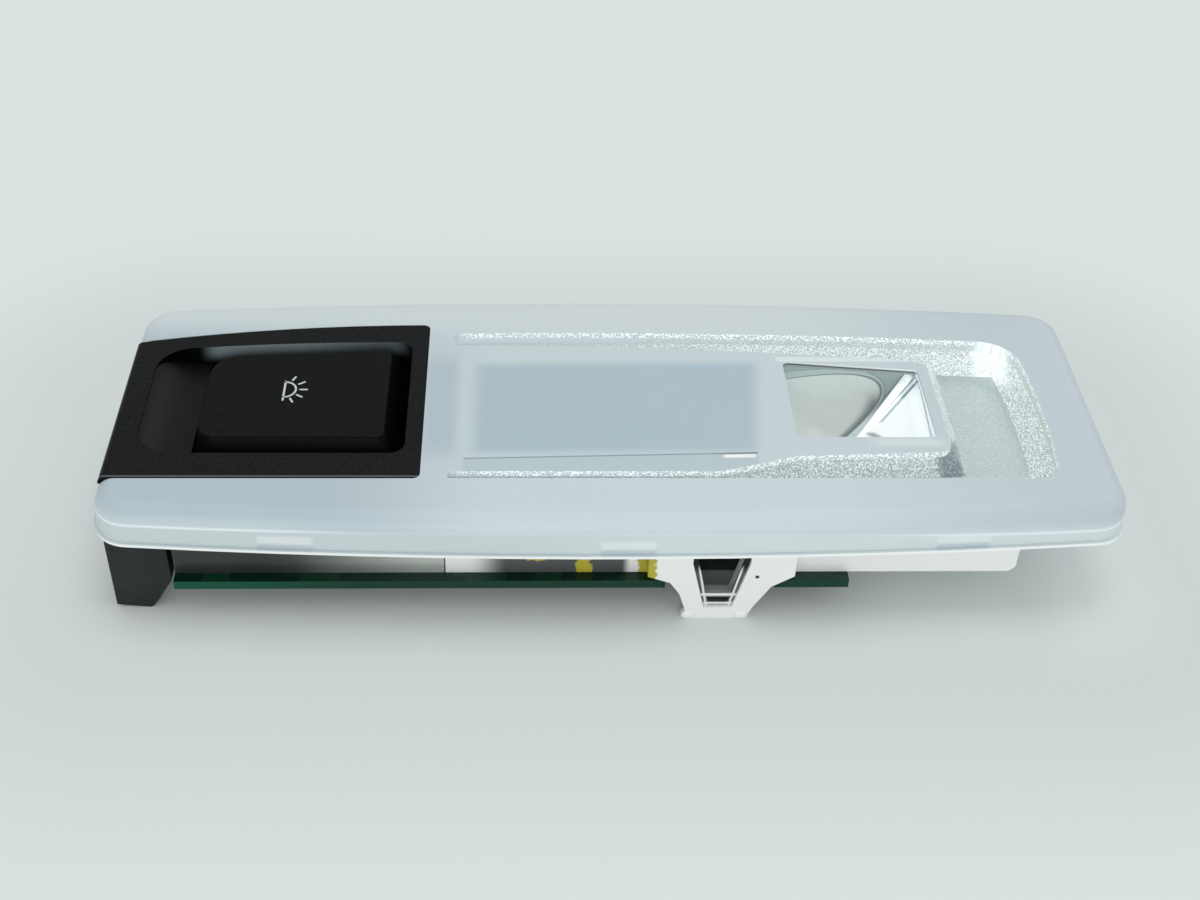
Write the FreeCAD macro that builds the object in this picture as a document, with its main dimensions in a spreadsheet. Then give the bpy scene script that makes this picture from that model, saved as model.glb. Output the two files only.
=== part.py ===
import FreeCAD, Part
import math
import os
import Sketcher

# Car dome light, in millimetres. X runs along the lamp, Y away from the front long side, Z up.
# The lamp lies on its legs with the cabin side up, and the origin is under the middle of the lens.

V = FreeCAD.Vector
doc = FreeCAD.newDocument("car_dome_light")
sheet = doc.addObject("Spreadsheet::Sheet", "dims")
nodes = {}


class Size:
    """A length that carries its number and the sheet formula that gives it."""

    def __init__(self, value, text):
        self.value = value
        self.text = text

    @staticmethod
    def of(other):
        if isinstance(other, Size):
            return other
        return Size(float(other), f"({float(other)})")

    def __add__(self, other):
        other = Size.of(other)
        return Size(self.value + other.value, f"({self.text} + {other.text})")

    def __radd__(self, other):
        return Size.of(other) + self

    def __sub__(self, other):
        other = Size.of(other)
        return Size(self.value - other.value, f"({self.text} - {other.text})")

    def __rsub__(self, other):
        return Size.of(other) - self

    def __mul__(self, other):
        other = Size.of(other)
        return Size(self.value * other.value, f"({self.text} * {other.text})")

    def __rmul__(self, other):
        return Size.of(other) * self

    def __truediv__(self, other):
        other = Size.of(other)
        return Size(self.value / other.value, f"({self.text} / {other.text})")

    def __rtruediv__(self, other):
        return Size.of(other) / self

    def __neg__(self):
        return Size(-self.value, f"(-1 * {self.text})")


def size(name, value):
    """Writes one driving size into the sheet and returns it."""
    row = size.rows + 1
    size.rows = row
    sheet.set(f"A{row}", name)
    sheet.set(f"B{row}", str(value))
    sheet.setAlias(f"B{row}", name)
    return Size(float(value), f"dims.{name}")


size.rows = 0

# Lens: the outer moulding
lens_length = size("lens_length", 165.0)
lens_depth = size("lens_depth", 62.0)
lens_height = size("lens_height", 7.0)
lens_bow = size("lens_bow", 3.4)
lens_wall = size("lens_wall", 1.8)
lens_plate = size("lens_plate", 2.2)
lens_draft = size("lens_draft", 0.6)
lens_corner = size("lens_corner", 6.0)
lens_edge = size("lens_edge", 3.0)
lip_height = size("lip_height", 0.8)
lip_reach = size("lip_reach", 0.3)
overall_height = size("overall_height", 21.5)
front_band = size("front_band", 10.4)
mould_gap = size("mould_gap", 0.05)

# Switch panel
bezel_length = size("bezel_length", 50.2)
bezel_plate = size("bezel_plate", 1.2)
bezel_rear_band = size("bezel_rear_band", 8.7)
bezel_rear_drop = size("bezel_rear_drop", 5.6)
bezel_rear_bow = size("bezel_rear_bow", 1.3)
bezel_corner = size("bezel_corner", 1.2)
bezel_end_edge = size("bezel_end_edge", 1.0)
bezel_gap = size("bezel_gap", 0.08)
well_left = size("well_left", 4.4)
well_right = size("well_right", 2.7)
well_front = size("well_front", 6.1)
well_rear = size("well_rear", 5.1)
well_rear_drop = size("well_rear_drop", 2.6)
well_rear_bow = size("well_rear_bow", 0.7)
well_wall = size("well_wall", 1.2)
well_depth = size("well_depth", 6.5)
well_big_corner = size("well_big_corner", 6.0)
well_small_corner = size("well_small_corner", 2.5)
dish_length = size("dish_length", 8.2)
dish_depth = size("dish_depth", 3.6)
dish_lip = size("dish_lip", 0.3)
dish_bow = size("dish_bow", 0.9)

# Key
key_side_gap = size("key_side_gap", 0.6)
key_slope_front = size("key_slope_front", 3.2)
key_slope_right = size("key_slope_right", 3.0)
key_slope_rear = size("key_slope_rear", 1.8)
key_slope_left = size("key_slope_left", 0.5)
key_proud = size("key_proud", 0.3)
key_wall = size("key_wall", 1.3)
key_skirt = size("key_skirt", 1.0)
key_big_corner = size("key_big_corner", 5.5)
key_front_corner = size("key_front_corner", 3.0)
key_small_corner = size("key_small_corner", 1.4)
key_edge = size("key_edge", 0.5)
key_corner_cut = size("key_corner_cut", 3.85)
pivot_radius = size("pivot_radius", 1.0)
pivot_play = size("pivot_play", 0.05)
pivot_inset = size("pivot_inset", 3.0)
pivot_height = size("pivot_height", 2.2)
pivot_engage = size("pivot_engage", 0.9)
pusher_gap = size("pusher_gap", 0.05)
pusher_width = size("pusher_width", 1.0)
pusher_length = size("pusher_length", 6.0)
stub_root = size("stub_root", 1.5)
tact_arm = size("tact_arm", 12.0)
tact_from_front = size("tact_from_front", 10.0)
icon_from_left = size("icon_from_left", 15.0)
icon_past_tact = size("icon_past_tact", 5.8)

# Window and light field
bridge = size("bridge", 4.4)
window_right = size("window_right", 10.2)
window_rear = size("window_rear", 11.2)
window_rear_drop = size("window_rear_drop", 2.0)
window_bow = size("window_bow", 1.2)
window_rear_corner = size("window_rear_corner", 7.0)
window_front_corner = size("window_front_corner", 4.0)
clear_film = size("clear_film", 1.1)
field_rear_gap = size("field_rear_gap", 3.6)
field_rear_drop = size("field_rear_drop", 4.1)
field_rear_bow = size("field_rear_bow", 1.4)
field_front_gap = size("field_front_gap", 1.6)
field_step = size("field_step", 3.8)
field_front_drop = size("field_front_drop", 1.1)
field_step_start = size("field_step_start", 44.0)
field_step_run = size("field_step_run", 12.0)
field_bend = size("field_bend", 10.8)
field_right_gap = size("field_right_gap", 16.2)
field_corner = size("field_corner", 2.5)
spot_length = size("spot_length", 23.3)
spot_rear_margin = size("spot_rear_margin", 4.0)
spot_rear_drop = size("spot_rear_drop", 2.5)
spot_right_margin = size("spot_right_margin", 1.9)
spot_front_margin = size("spot_front_margin", 3.8)
spot_corner = size("spot_corner", 1.0)

# Reflector tray
tray_floor_depth = size("tray_floor_depth", 3.3)
tray_plate = size("tray_plate", 1.2)
tray_rim = size("tray_rim", 1.5)
tray_end_rim = size("tray_end_rim", 0.9)
tray_slope = size("tray_slope", 45.0)
pedestal_slope = size("pedestal_slope", 38.0)
pedestal_set_back = size("pedestal_set_back", 2.7)
pedestal_rear = size("pedestal_rear", 1.6)
pedestal_end = size("pedestal_end", 0.8)
chamber_inset = size("chamber_inset", 3.0)
chamber_to_cup = size("chamber_to_cup", 3.5)
chamber_front_inset = size("chamber_front_inset", 4.6)
chamber_rear_inset = size("chamber_rear_inset", 1.6)
chamber_wall = size("chamber_wall", 1.2)
insert_gap = size("insert_gap", 0.2)
diffuser_plate = size("diffuser_plate", 1.2)

# Spot reflector
spot_wall = size("spot_wall", 0.9)
cup_floor = size("cup_floor", 1.0)
spot_scoop = size("spot_scoop", 16.5)
spot_scoop_drop = size("spot_scoop_drop", 11.3)
spot_scoop_rise = size("spot_scoop_rise", 12.0)
ridge_front_in = size("ridge_front_in", 9.8)
ridge_rear_in = size("ridge_rear_in", 27.0)
ridge_drop = size("ridge_drop", 0.9)
facet_drop = size("facet_drop", 4.6)
spot_lamp_hole = size("spot_lamp_hole", 2.6)
spot_lamp_inset = size("spot_lamp_inset", 5.4)

# Housing, light box, board
housing_margin = size("housing_margin", 4.9)
housing_end = size("housing_end", 16.5)
housing_end_edge = size("housing_end_edge", 1.0)
housing_start = size("housing_start", 0.4)
flange_set_back = size("flange_set_back", 0.5)
housing_wall = size("housing_wall", 1.6)
housing_top_gap = size("housing_top_gap", 0.3)
board_top = size("board_top", 7.0)
board_plate = size("board_plate", 1.6)
board_margin = size("board_margin", 2.9)
board_inset = size("board_inset", 11.3)
board_past_lamp = size("board_past_lamp", 3.1)
board_end_gap = size("board_end_gap", 1.0)
board_notch_left = size("board_notch_left", 3.0)
board_notch_right = size("board_notch_right", 2.8)
seam_gap = size("seam_gap", 0.2)
wall_gap = size("wall_gap", 0.1)
switch_gap = size("switch_gap", 0.15)
box_wall = size("box_wall", 1.2)
leg_width = size("leg_width", 9.4)
leg_foot = size("leg_foot", 6.0)
leg_plate = size("leg_plate", 3.2)
leg_proud = size("leg_proud", 0.6)
leg_toe = size("leg_toe", 0.6)
leg_toe_rise = size("leg_toe_rise", 0.5)
tower_reach = size("tower_reach", 3.5)
tower_left = size("tower_left", 17.4)
tower_width = size("tower_width", 23.5)
tower_foot = size("tower_foot", 9.4)
tower_toe_run = size("tower_toe_run", 1.1)
tower_toe_rise = size("tower_toe_rise", 2.6)
tower_right_flare = size("tower_right_flare", 3.6)
tower_left_flare = size("tower_left_flare", 3.3)
tower_shoulder = size("tower_shoulder", 2.3)
tower_left_rise = size("tower_left_rise", 0.9)
tower_left_toe = size("tower_left_toe", 1.7)
tower_left_drop = size("tower_left_drop", 1.6)
tower_foot_shift = size("tower_foot_shift", 0.1)
tower_notch_gap = size("tower_notch_gap", 0.4)
clip_plate = size("clip_plate", 0.5)
clip_band = size("clip_band", 0.9)
clip_set_back = size("clip_set_back", 0.6)
clip_top_gap = size("clip_top_gap", 0.4)
clip_window_low = size("clip_window_low", 2.4)
clip_window_drop = size("clip_window_drop", 2.4)
clip_foot_half = size("clip_foot_half", 2.3)
clip_top_half = size("clip_top_half", 4.6)
clip_slot_low = size("clip_slot_low", 3.1)
clip_slot_high = size("clip_slot_high", 4.1)
clip_hole_low = size("clip_hole_low", 5.0)

# Latches, switch, screws, lamps and socket
latch_width = size("latch_width", 8.6)
latch_low = size("latch_low", 0.5)
latch_height = size("latch_height", 3.6)
latch_left = size("latch_left", 28.1)
latch_middle = size("latch_middle", 28.4)
latch_right = size("latch_right", 27.1)
tact_body_side = size("tact_body_side", 6.0)
tact_body_height = size("tact_body_height", 3.5)
tact_bore_floor = size("tact_bore_floor", 1.05)
plunger_foot = size("plunger_foot", 1.925)
tact_plunger_radius = size("tact_plunger_radius", 1.7)
tact_plunger_height = size("tact_plunger_height", 3.6)
tact_play = size("tact_play", 0.1)
screw_shank = size("screw_shank", 1.1)
screw_head = size("screw_head", 2.3)
screw_head_height = size("screw_head_height", 1.5)
screw_grip = size("screw_grip", 5.0)
boss_wall = size("boss_wall", 1.7)
boss_roof = size("boss_roof", 1.0)
screw_hole_gap = size("screw_hole_gap", 0.3)
screw_inset = size("screw_inset", 4.0)
screw_from_wall = size("screw_from_wall", 2.6)
screw_from_end = size("screw_from_end", 3.0)
lamp_length = size("lamp_length", 3.5)
lamp_width = size("lamp_width", 2.8)
lamp_height = size("lamp_height", 0.9)
lamp_margin = size("lamp_margin", 4.8)
lamp_dome = size("lamp_dome", 1.3)
symbol_lamp_length = size("symbol_lamp_length", 1.6)
symbol_lamp_width = size("symbol_lamp_width", 1.2)
pipe_stem_radius = size("pipe_stem_radius", 1.5)
pipe_foot_radius = size("pipe_foot_radius", 2.2)
pipe_foot_height = size("pipe_foot_height", 1.4)
pipe_past_box = size("pipe_past_box", 0.4)
parts_from_left = size("parts_from_left", 9.0)
parts_from_wall = size("parts_from_wall", 5.5)
parts_space = size("parts_space", 2.5)
chip_case = size("chip_case", 5.0)
chip_width = size("chip_width", 4.0)
chip_height = size("chip_height", 1.6)
transistor_length = size("transistor_length", 6.5)
transistor_width = size("transistor_width", 6.0)
transistor_height = size("transistor_height", 2.3)
diode_length = size("diode_length", 4.5)
diode_width = size("diode_width", 2.6)
diode_height = size("diode_height", 2.2)
resistor_length = size("resistor_length", 2.0)
resistor_width = size("resistor_width", 1.4)
resistor_height = size("resistor_height", 0.6)
resistor_pitch = size("resistor_pitch", 3.2)
capacitor_inset = size("capacitor_inset", 12.0)
capacitor_pitch = size("capacitor_pitch", 8.0)
capacitor_height = size("capacitor_height", 5.4)
capacitor_radius = size("capacitor_radius", 2.4)
socket_from_left = size("socket_from_left", 8.0)
socket_width = size("socket_width", 14.0)
socket_reach = size("socket_reach", 9.0)
socket_roof_gap = size("socket_roof_gap", 0.6)
socket_wall = size("socket_wall", 1.1)
socket_back = size("socket_back", 1.65)
pin_set_back = size("pin_set_back", 4.5)
pin_side = size("pin_side", 0.64)
pin_spacing = size("pin_spacing", 2.5)

# Heights and edges that follow from the sizes above
top_z = overall_height
skirt_z = top_z - lens_height
plate_z = top_z - lens_plate
film_z = top_z - clear_film
half_length = lens_length / 2 - lip_reach
half_depth = lens_depth / 2 - lip_reach
top_half_length = half_length - lens_draft
top_half_depth = half_depth - lens_draft
left_end = -top_half_length
bezel_right = left_end + bezel_length
front_edge = -top_half_depth + front_band
window_left = bezel_right + bridge
window_right_x = top_half_length - window_right
window_rear_y = top_half_depth - window_rear
house_y = lens_depth / 2 - housing_margin
housing_x0 = window_left - housing_start
housing_x1 = top_half_length - housing_end
board_half = lens_depth / 2 - board_margin
board_x0 = left_end + board_inset
latch_places = (left_end + latch_left, window_left + latch_middle, top_half_length - latch_right)
board_z = board_top - board_plate
box_top = skirt_z + housing_top_gap


def bind(item, prop, value):
    """Ties one property of an object to a size."""
    item.setExpression(prop, Size.of(value).text)


def slope(run, rise):
    """The draft angle, in degrees, of a wall that leans by run over rise."""
    angle = math.degrees(math.atan2(run.value, rise.value))
    return Size(angle, f"atan({run.text} / {rise.text})")


def new_body(label):
    body = doc.addObject("PartDesign::Body", label)
    body.Label = label
    return body


def origin_plane(body, role):
    return [f for f in body.Origin.OriginFeatures if f.Role == role][0]


def outline(body, name, height, corners, role="XY_Plane"):
    """Draws a closed outline. A corner is (x, y), or (x, y, rise) where the next edge bows out by rise."""
    sketch = body.newObject("Sketcher::SketchObject", f"{body.Label}_{name}")
    sketch.AttachmentSupport = [(origin_plane(body, role), "")]
    sketch.MapMode = "FlatFace"
    bind(sketch, "AttachmentOffset.Base.z", height)
    points = [(Size.of(c[0]), Size.of(c[1]), c[2] if len(c) > 2 else None) for c in corners]
    starts = []
    for number, (x, y, rise) in enumerate(points):
        end_x, end_y, _ = points[(number + 1) % len(points)]
        start = V(x.value, y.value, 0)
        end = V(end_x.value, end_y.value, 0)
        if rise is None:
            edge = sketch.addGeometry(Part.LineSegment(start, end), False)
            starts.append((edge, 1, 2))
            continue
        rise = Size.of(rise)
        run_x = end_x - x
        run_y = end_y - y
        radius = ((run_x * run_x + run_y * run_y) / 4 + rise * rise) / (2 * rise)
        chord = end - start
        inward = V(-chord.y, chord.x, 0).normalize()
        centre = (start + end) * 0.5 + inward * (radius.value - rise.value)
        first = math.atan2(start.y - centre.y, start.x - centre.x)
        last = math.atan2(end.y - centre.y, end.x - centre.x)
        circle = Part.Circle(centre, V(0, 0, 1), radius.value)
        edge = sketch.addGeometry(Part.ArcOfCircle(circle, first, last), False)
        starts.append((edge, 1, 2))
        held = sketch.addConstraint(Sketcher.Constraint("Radius", edge, radius.value))
        hold(sketch, held, f"bow{number}", radius)
    for number, (edge, first, last) in enumerate(starts):
        after = starts[(number + 1) % len(starts)]
        sketch.addConstraint(Sketcher.Constraint("Coincident", edge, last, after[0], after[1]))
    for number, (x, y, _) in enumerate(points):
        edge, first, _ = starts[number]
        across = sketch.addConstraint(Sketcher.Constraint("DistanceX", -1, 1, edge, first, x.value))
        hold(sketch, across, f"x{number}", x)
        up = sketch.addConstraint(Sketcher.Constraint("DistanceY", -1, 1, edge, first, y.value))
        hold(sketch, up, f"y{number}", y)
    doc.recompute()
    return sketch


def hold(sketch, index, name, value):
    sketch.renameConstraint(index, name)
    sketch.setExpression(f"Constraints.{name}", value.text)


def ring(body, name, x, y, radius, height, role="XY_Plane"):
    """Draws one circle."""
    sketch = body.newObject("Sketcher::SketchObject", f"{body.Label}_{name}")
    sketch.AttachmentSupport = [(origin_plane(body, role), "")]
    sketch.MapMode = "FlatFace"
    bind(sketch, "AttachmentOffset.Base.z", height)
    x, y, radius = Size.of(x), Size.of(y), Size.of(radius)
    circle = Part.Circle(V(x.value, y.value, 0), V(0, 0, 1), radius.value)
    edge = sketch.addGeometry(circle, False)
    hold(sketch, sketch.addConstraint(Sketcher.Constraint("Radius", edge, radius.value)), "r0", radius)
    across = sketch.addConstraint(Sketcher.Constraint("DistanceX", -1, 1, edge, 3, x.value))
    hold(sketch, across, "x0", x)
    up = sketch.addConstraint(Sketcher.Constraint("DistanceY", -1, 1, edge, 3, y.value))
    hold(sketch, up, "y0", y)
    doc.recompute()
    return sketch


def settle(feature):
    """Recomputes and stops where a feature failed."""
    doc.recompute()
    if "Invalid" in feature.State or feature.Shape.isNull():
        raise ValueError(f"{feature.Label} failed: {feature.getStatusString()}")
    return feature


def pad(body, sketch, length, back=False, taper=None):
    """Adds material along the sketch's normal, or the other way with back."""
    feature = body.newObject("PartDesign::Pad", f"{sketch.Name}_pad")
    feature.Profile = sketch
    bind(feature, "Length", length)
    feature.Reversed = back
    if taper is not None:
        bind(feature, "TaperAngle", taper)
    return settle(feature)


def pocket(body, sketch, depth, back=False, taper=None):
    """Cuts against the sketch's normal, or along it with back, and checks that material went."""
    before = body.Shape.Volume
    feature = body.newObject("PartDesign::Pocket", f"{sketch.Name}_pocket")
    feature.Profile = sketch
    bind(feature, "Length", depth)
    feature.Reversed = back
    if taper is not None:
        bind(feature, "TaperAngle", taper)
    settle(feature)
    if body.Shape.Volume > before - 0.001 or len(body.Shape.Solids) != 1:
        raise ValueError(f"{feature.Label} cut nothing or cut the body in two")
    return feature


def lean(body, angle, low, high, hollow=False, beside=None):
    """Leans the upright faces from low to high inwards about their foot, or a hollow's about its ceiling.
    With a point beside given, only the face that passes through it leans."""
    base = body.Tip
    z0, z1 = Size.of(low).value, Size.of(high).value
    still = z1 if hollow else z0
    reach = [(f"Face{n + 1}", face.BoundBox) for n, face in enumerate(base.Shape.Faces)]
    flanks = [name for name, box in reach if abs(box.ZMin - z0) < 0.01 and abs(box.ZMax - z1) < 0.01]
    if beside is not None:
        here = Part.Vertex(beside)
        flanks = [name for name in flanks if base.Shape.getElement(name).distToShape(here)[0] < 0.01]
    plane = [name for name, box in reach if abs(box.ZMin - still) < 0.01 and abs(box.ZMax - still) < 0.01]
    feature = body.newObject("PartDesign::Draft", f"{body.Label}_lean")
    feature.Base = (base, flanks)
    feature.NeutralPlane = (base, plane[:1])
    bind(feature, "Angle", angle)
    feature.Reversed = hollow
    return settle(feature)


def near(points, reach=2.6):
    """Chooses edges that stand up near one of the points, seen from above."""
    spots = [V(Size.of(x).value, Size.of(y).value, 0) for x, y in points]

    def chosen(edge):
        low, high = edge.Vertexes[0].Point, edge.Vertexes[-1].Point
        if abs(high.z - low.z) < 0.4 * edge.Length:
            return False
        middle = (low + high) * 0.5
        return any(V(middle.x, middle.y, 0).distanceToPoint(s) < reach for s in spots)

    return chosen


def level(height, inside=None):
    """Chooses edges that lie at one height, within a box (x0, x1, y0, y1) if one is given."""
    z = Size.of(height).value

    def chosen(edge):
        box = edge.BoundBox
        if abs(box.ZMin - z) > 0.002 or abs(box.ZMax - z) > 0.002:
            return False
        if inside is None:
            return True
        x0, x1, y0, y1 = [Size.of(value).value for value in inside]
        return box.XMin > x0 and box.XMax < x1 and box.YMin > y0 and box.YMax < y1

    return chosen


def rounded(body, radius, *choices, name="round"):
    """Rounds the chosen edges of a body's last feature."""
    base = body.Tip
    edges = base.Shape.Edges
    names = [f"Edge{n + 1}" for n, edge in enumerate(edges) if any(choice(edge) for choice in choices)]
    if not names:
        raise ValueError(f"{body.Label} has no edge to round for {name}")
    feature = body.newObject("PartDesign::Fillet", f"{body.Label}_{name}")
    feature.Base = (base, names)
    bind(feature, "Radius", radius)
    return settle(feature)


def box(label, low_x, high_x, low_y, high_y, low_z, high_z):
    """A block between two corners."""
    made = doc.addObject("Part::Box", label)
    made.Label = label
    bind(made, "Length", high_x - low_x)
    bind(made, "Width", high_y - low_y)
    bind(made, "Height", high_z - low_z)
    bind(made, "Placement.Base.x", low_x)
    bind(made, "Placement.Base.y", low_y)
    bind(made, "Placement.Base.z", low_z)
    return made


def post(label, x, y, radius, low_z, high_z):
    """An upright cylinder."""
    cylinder = doc.addObject("Part::Cylinder", label)
    cylinder.Label = label
    bind(cylinder, "Radius", radius)
    bind(cylinder, "Height", high_z - low_z)
    bind(cylinder, "Placement.Base.x", x)
    bind(cylinder, "Placement.Base.y", y)
    bind(cylinder, "Placement.Base.z", low_z)
    return cylinder


def joined(label, parts):
    fuse = doc.addObject("Part::MultiFuse", label)
    fuse.Label = label
    fuse.Shapes = parts
    return fuse


def cut(label, base, tool):
    made = doc.addObject("Part::Cut", label)
    made.Label = label
    made.Base = base
    made.Tool = tool
    return made


def common(label, parts):
    made = doc.addObject("Part::MultiCommon", label)
    made.Label = label
    made.Shapes = parts
    return made


def group(label, parts):
    """Several separate solids that share one node."""
    made = doc.addObject("Part::Compound", label)
    made.Label = label
    made.Links = parts
    return made


def block(x0, x1, y0, y1):
    """A plain rectangle."""
    return [(x0, y0), (x1, y0), (x1, y1), (x0, y1)]


def barrel(half_x, half_y, bow):
    """An oblong whose long sides bow out."""
    return [
        (-half_x, -(half_y - bow), bow),
        (half_x, -(half_y - bow)),
        (half_x, half_y - bow, bow),
        (-half_x, half_y - bow),
    ]


def soft_barrel(half_x, half_y, bow, corner):
    """An oblong whose long sides bow out, with its corners drawn as quarter rounds."""
    share = (half_x - corner) / half_x
    side_x = half_x - corner
    side_y = half_y - bow * (share * share)
    end_y = side_y - corner
    turn = corner * (1 - math.cos(math.pi / 4))
    return [
        (-side_x, -side_y, bow * (share * share)),
        (side_x, -side_y, turn),
        (half_x, -end_y),
        (half_x, end_y, turn),
        (side_x, side_y, bow * (share * share)),
        (-side_x, side_y, turn),
        (-half_x, end_y),
        (-half_x, -end_y, turn),
    ]


def bezel_outline(gap):
    """The switch panel's outline from above, grown by gap on its three inner sides."""
    rear_right = top_half_depth - bezel_rear_band + gap
    reach = left_end - lip_reach - lens_draft
    return [
        (reach, front_edge - gap),
        (bezel_right + gap, front_edge - gap),
        (bezel_right + gap, rear_right, bezel_rear_bow),
        (reach, rear_right - bezel_rear_drop),
    ]


well_x0 = left_end + well_left
well_x1 = bezel_right - well_right
well_y0 = front_edge + well_front
well_y1 = top_half_depth - bezel_rear_band - well_rear


def well_outline(grow):
    """The well's rim, grown by grow on all sides."""
    return [
        (well_x0 - grow, well_y0 - grow),
        (well_x1 + grow, well_y0 - grow),
        (well_x1 + grow, well_y1 + grow, well_rear_bow),
        (well_x0 - grow, well_y1 - well_rear_drop + grow),
    ]


def well_corners(grow):
    """Chooses the well's left corner edges and its right ones."""
    left = near([(well_x0 - grow, well_y0 - grow), (well_x0 - grow, well_y1 - well_rear_drop + grow)], 0.5)
    right = near([(well_x1 + grow, well_y0 - grow), (well_x1 + grow, well_y1 + grow)], 0.5)
    return left, right


def window_outline(gap):
    """The clear window's outline, drawn in by gap."""
    right = window_right_x - gap
    return [
        (window_left + gap, front_edge + gap),
        (right, front_edge + gap, window_bow),
        (right, window_rear_y - window_rear_drop - gap, window_bow),
        (window_left + gap, window_rear_y - gap),
    ]


field_right = window_right_x - field_right_gap
field_rear_left = window_rear_y - field_rear_gap
field_rear_right = field_rear_left - field_rear_drop
field_front_left = front_edge + field_front_gap
field_front_middle = field_front_left + field_step
field_front_right = field_front_middle + field_front_drop
step_x0 = window_left + field_step_start
step_x1 = step_x0 + field_step_run


def field_outline(gap):
    """The milky light field's outline, grown by gap; its left end reaches into the frame."""
    left = window_left - bridge / 4
    return [
        (left, field_front_left - gap),
        (step_x0, field_front_left - gap),
        (step_x1, field_front_middle - gap),
        (field_right + gap, field_front_right - gap),
        (field_right + gap, field_rear_right + gap, field_rear_bow),
        (left, field_rear_left + gap),
    ]


def round_field(body, gap):
    """Rounds the light field's free corners and the two bends of its front step."""
    corner = [(field_right + gap, field_rear_right + gap), (field_right + gap, field_front_right - gap)]
    bend = [(step_x0, field_front_left - gap), (step_x1, field_front_middle - gap)]
    rounded(body, field_corner, between(film_z, top_z, near(corner, 0.4)), name="field_corners")
    rounded(body, field_bend, between(film_z, top_z, near(bend, 0.4)), name="field_step")


spot_x1 = field_right - spot_right_margin
spot_x0 = spot_x1 - spot_length
spot_y0 = field_front_right + spot_front_margin
spot_y1 = field_rear_left - spot_rear_margin
spot_depth = spot_y1 - spot_y0


def spot_outline(grow):
    """The spot window's outline, a little lower at its right end."""
    return [
        (spot_x0 - grow, spot_y0 - grow),
        (spot_x1 + grow, spot_y0 - grow),
        (spot_x1 + grow, spot_y1 - spot_rear_drop + grow),
        (spot_x0 - grow, spot_y1 + grow),
    ]


def window_corners(gap):
    rear = near([(window_right_x - gap, window_rear_y - window_rear_drop - gap)])
    front = near([(window_right_x - gap, front_edge + gap)])
    return rear, front


def make_lens_frame():
    """Milky lens: a bowed, drafted shell with room for the panel, the window and the spot."""
    body = new_body("lens_frame")
    foot = outline(body, "foot", skirt_z, barrel(half_length, half_depth, lens_bow))
    pad(body, foot, lens_height)
    lean(body, slope(lens_draft, lens_height), skirt_z, top_z)
    corner = [(sx * half_length, sy * (half_depth - lens_bow)) for sx in (-1, 1) for sy in (-1, 1)]
    rounded(body, lens_corner, near(corner), name="corners")
    rounded(body, lens_edge, level(top_z), name="crest_edge")
    lip_half_x = half_length + lip_reach
    lip_half_y = half_depth + lip_reach
    lip = outline(body, "lip", skirt_z, barrel(lip_half_x, lip_half_y, lens_bow))
    pad(body, lip, lip_height)
    lip_corner = [(sx * lip_half_x, sy * (lip_half_y - lens_bow)) for sx in (-1, 1) for sy in (-1, 1)]
    rounded(body, lens_corner + lip_reach, near(lip_corner, 0.6), name="lip_corners")
    inner = soft_barrel(half_length - lens_wall, half_depth - lens_wall, lens_bow, lens_corner - lens_wall)
    cavity = outline(body, "cavity", skirt_z, inner)
    pocket(body, cavity, lens_height - lens_plate, back=True)
    seat = outline(body, "panel_seat", top_z, bezel_outline(bezel_gap))
    pocket(body, seat, bezel_plate)
    rear_right = top_half_depth - bezel_rear_band
    seat_corner = near([(bezel_right, front_edge), (bezel_right, rear_right)], 0.5)
    rounded(body, bezel_corner, seat_corner, name="panel_corners")
    hole = outline(body, "well_hole", top_z, well_outline(well_wall + bezel_gap))
    pocket(body, hole, lens_plate + 1)
    left, right = well_corners(well_wall + bezel_gap)
    rounded(body, well_big_corner + well_wall + bezel_gap, left, name="hole_left")
    rounded(body, well_small_corner + well_wall + bezel_gap, right, name="hole_right")
    opening = outline(body, "opening", plate_z, window_outline(0))
    pocket(body, opening, lens_plate + 1, back=True)
    rear, front = window_corners(0)
    rounded(body, window_rear_corner, rear, name="opening_rear_corner")
    rounded(body, window_front_corner, front, name="opening_front_corner")
    field = outline(body, "field", film_z, field_outline(0))
    pad(body, field, clear_film)
    round_field(body, 0)
    spot = outline(body, "spot", top_z, spot_outline(0))
    pocket(body, spot, clear_film)
    rounded(body, spot_corner, spot_edges(0), name="spot_corners")
    add_latches(body)
    nodes["lens_frame"] = body


def between(low, high, chosen):
    """Keeps the chosen edges that lie between two heights."""
    z0, z1 = Size.of(low).value, Size.of(high).value

    def kept(edge):
        return chosen(edge) and edge.BoundBox.ZMin > z0 - 0.01 and edge.BoundBox.ZMax < z1 + 0.01

    return kept


def spot_edges(grow):
    return near(spot_outline(grow), 0.4)


def add_latches(body):
    """Latch blocks inside the long walls, over the housing's side walls."""
    reach = house_y + 2 * mould_gap
    for number, place in enumerate(latch_places):
        for side, sign in (("front", -1), ("rear", 1)):
            x0 = place - latch_width / 2
            x1 = place + latch_width / 2
            outer = half_depth - lens_wall / 2 - lens_bow * (place / half_length) * (place / half_length)
            low = sign * reach if sign > 0 else -outer
            high = outer if sign > 0 else sign * reach
            foot = outline(body, f"latch_{side}{number}", skirt_z + latch_low, block(x0, x1, low, high))
            pad(body, foot, latch_height)


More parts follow.
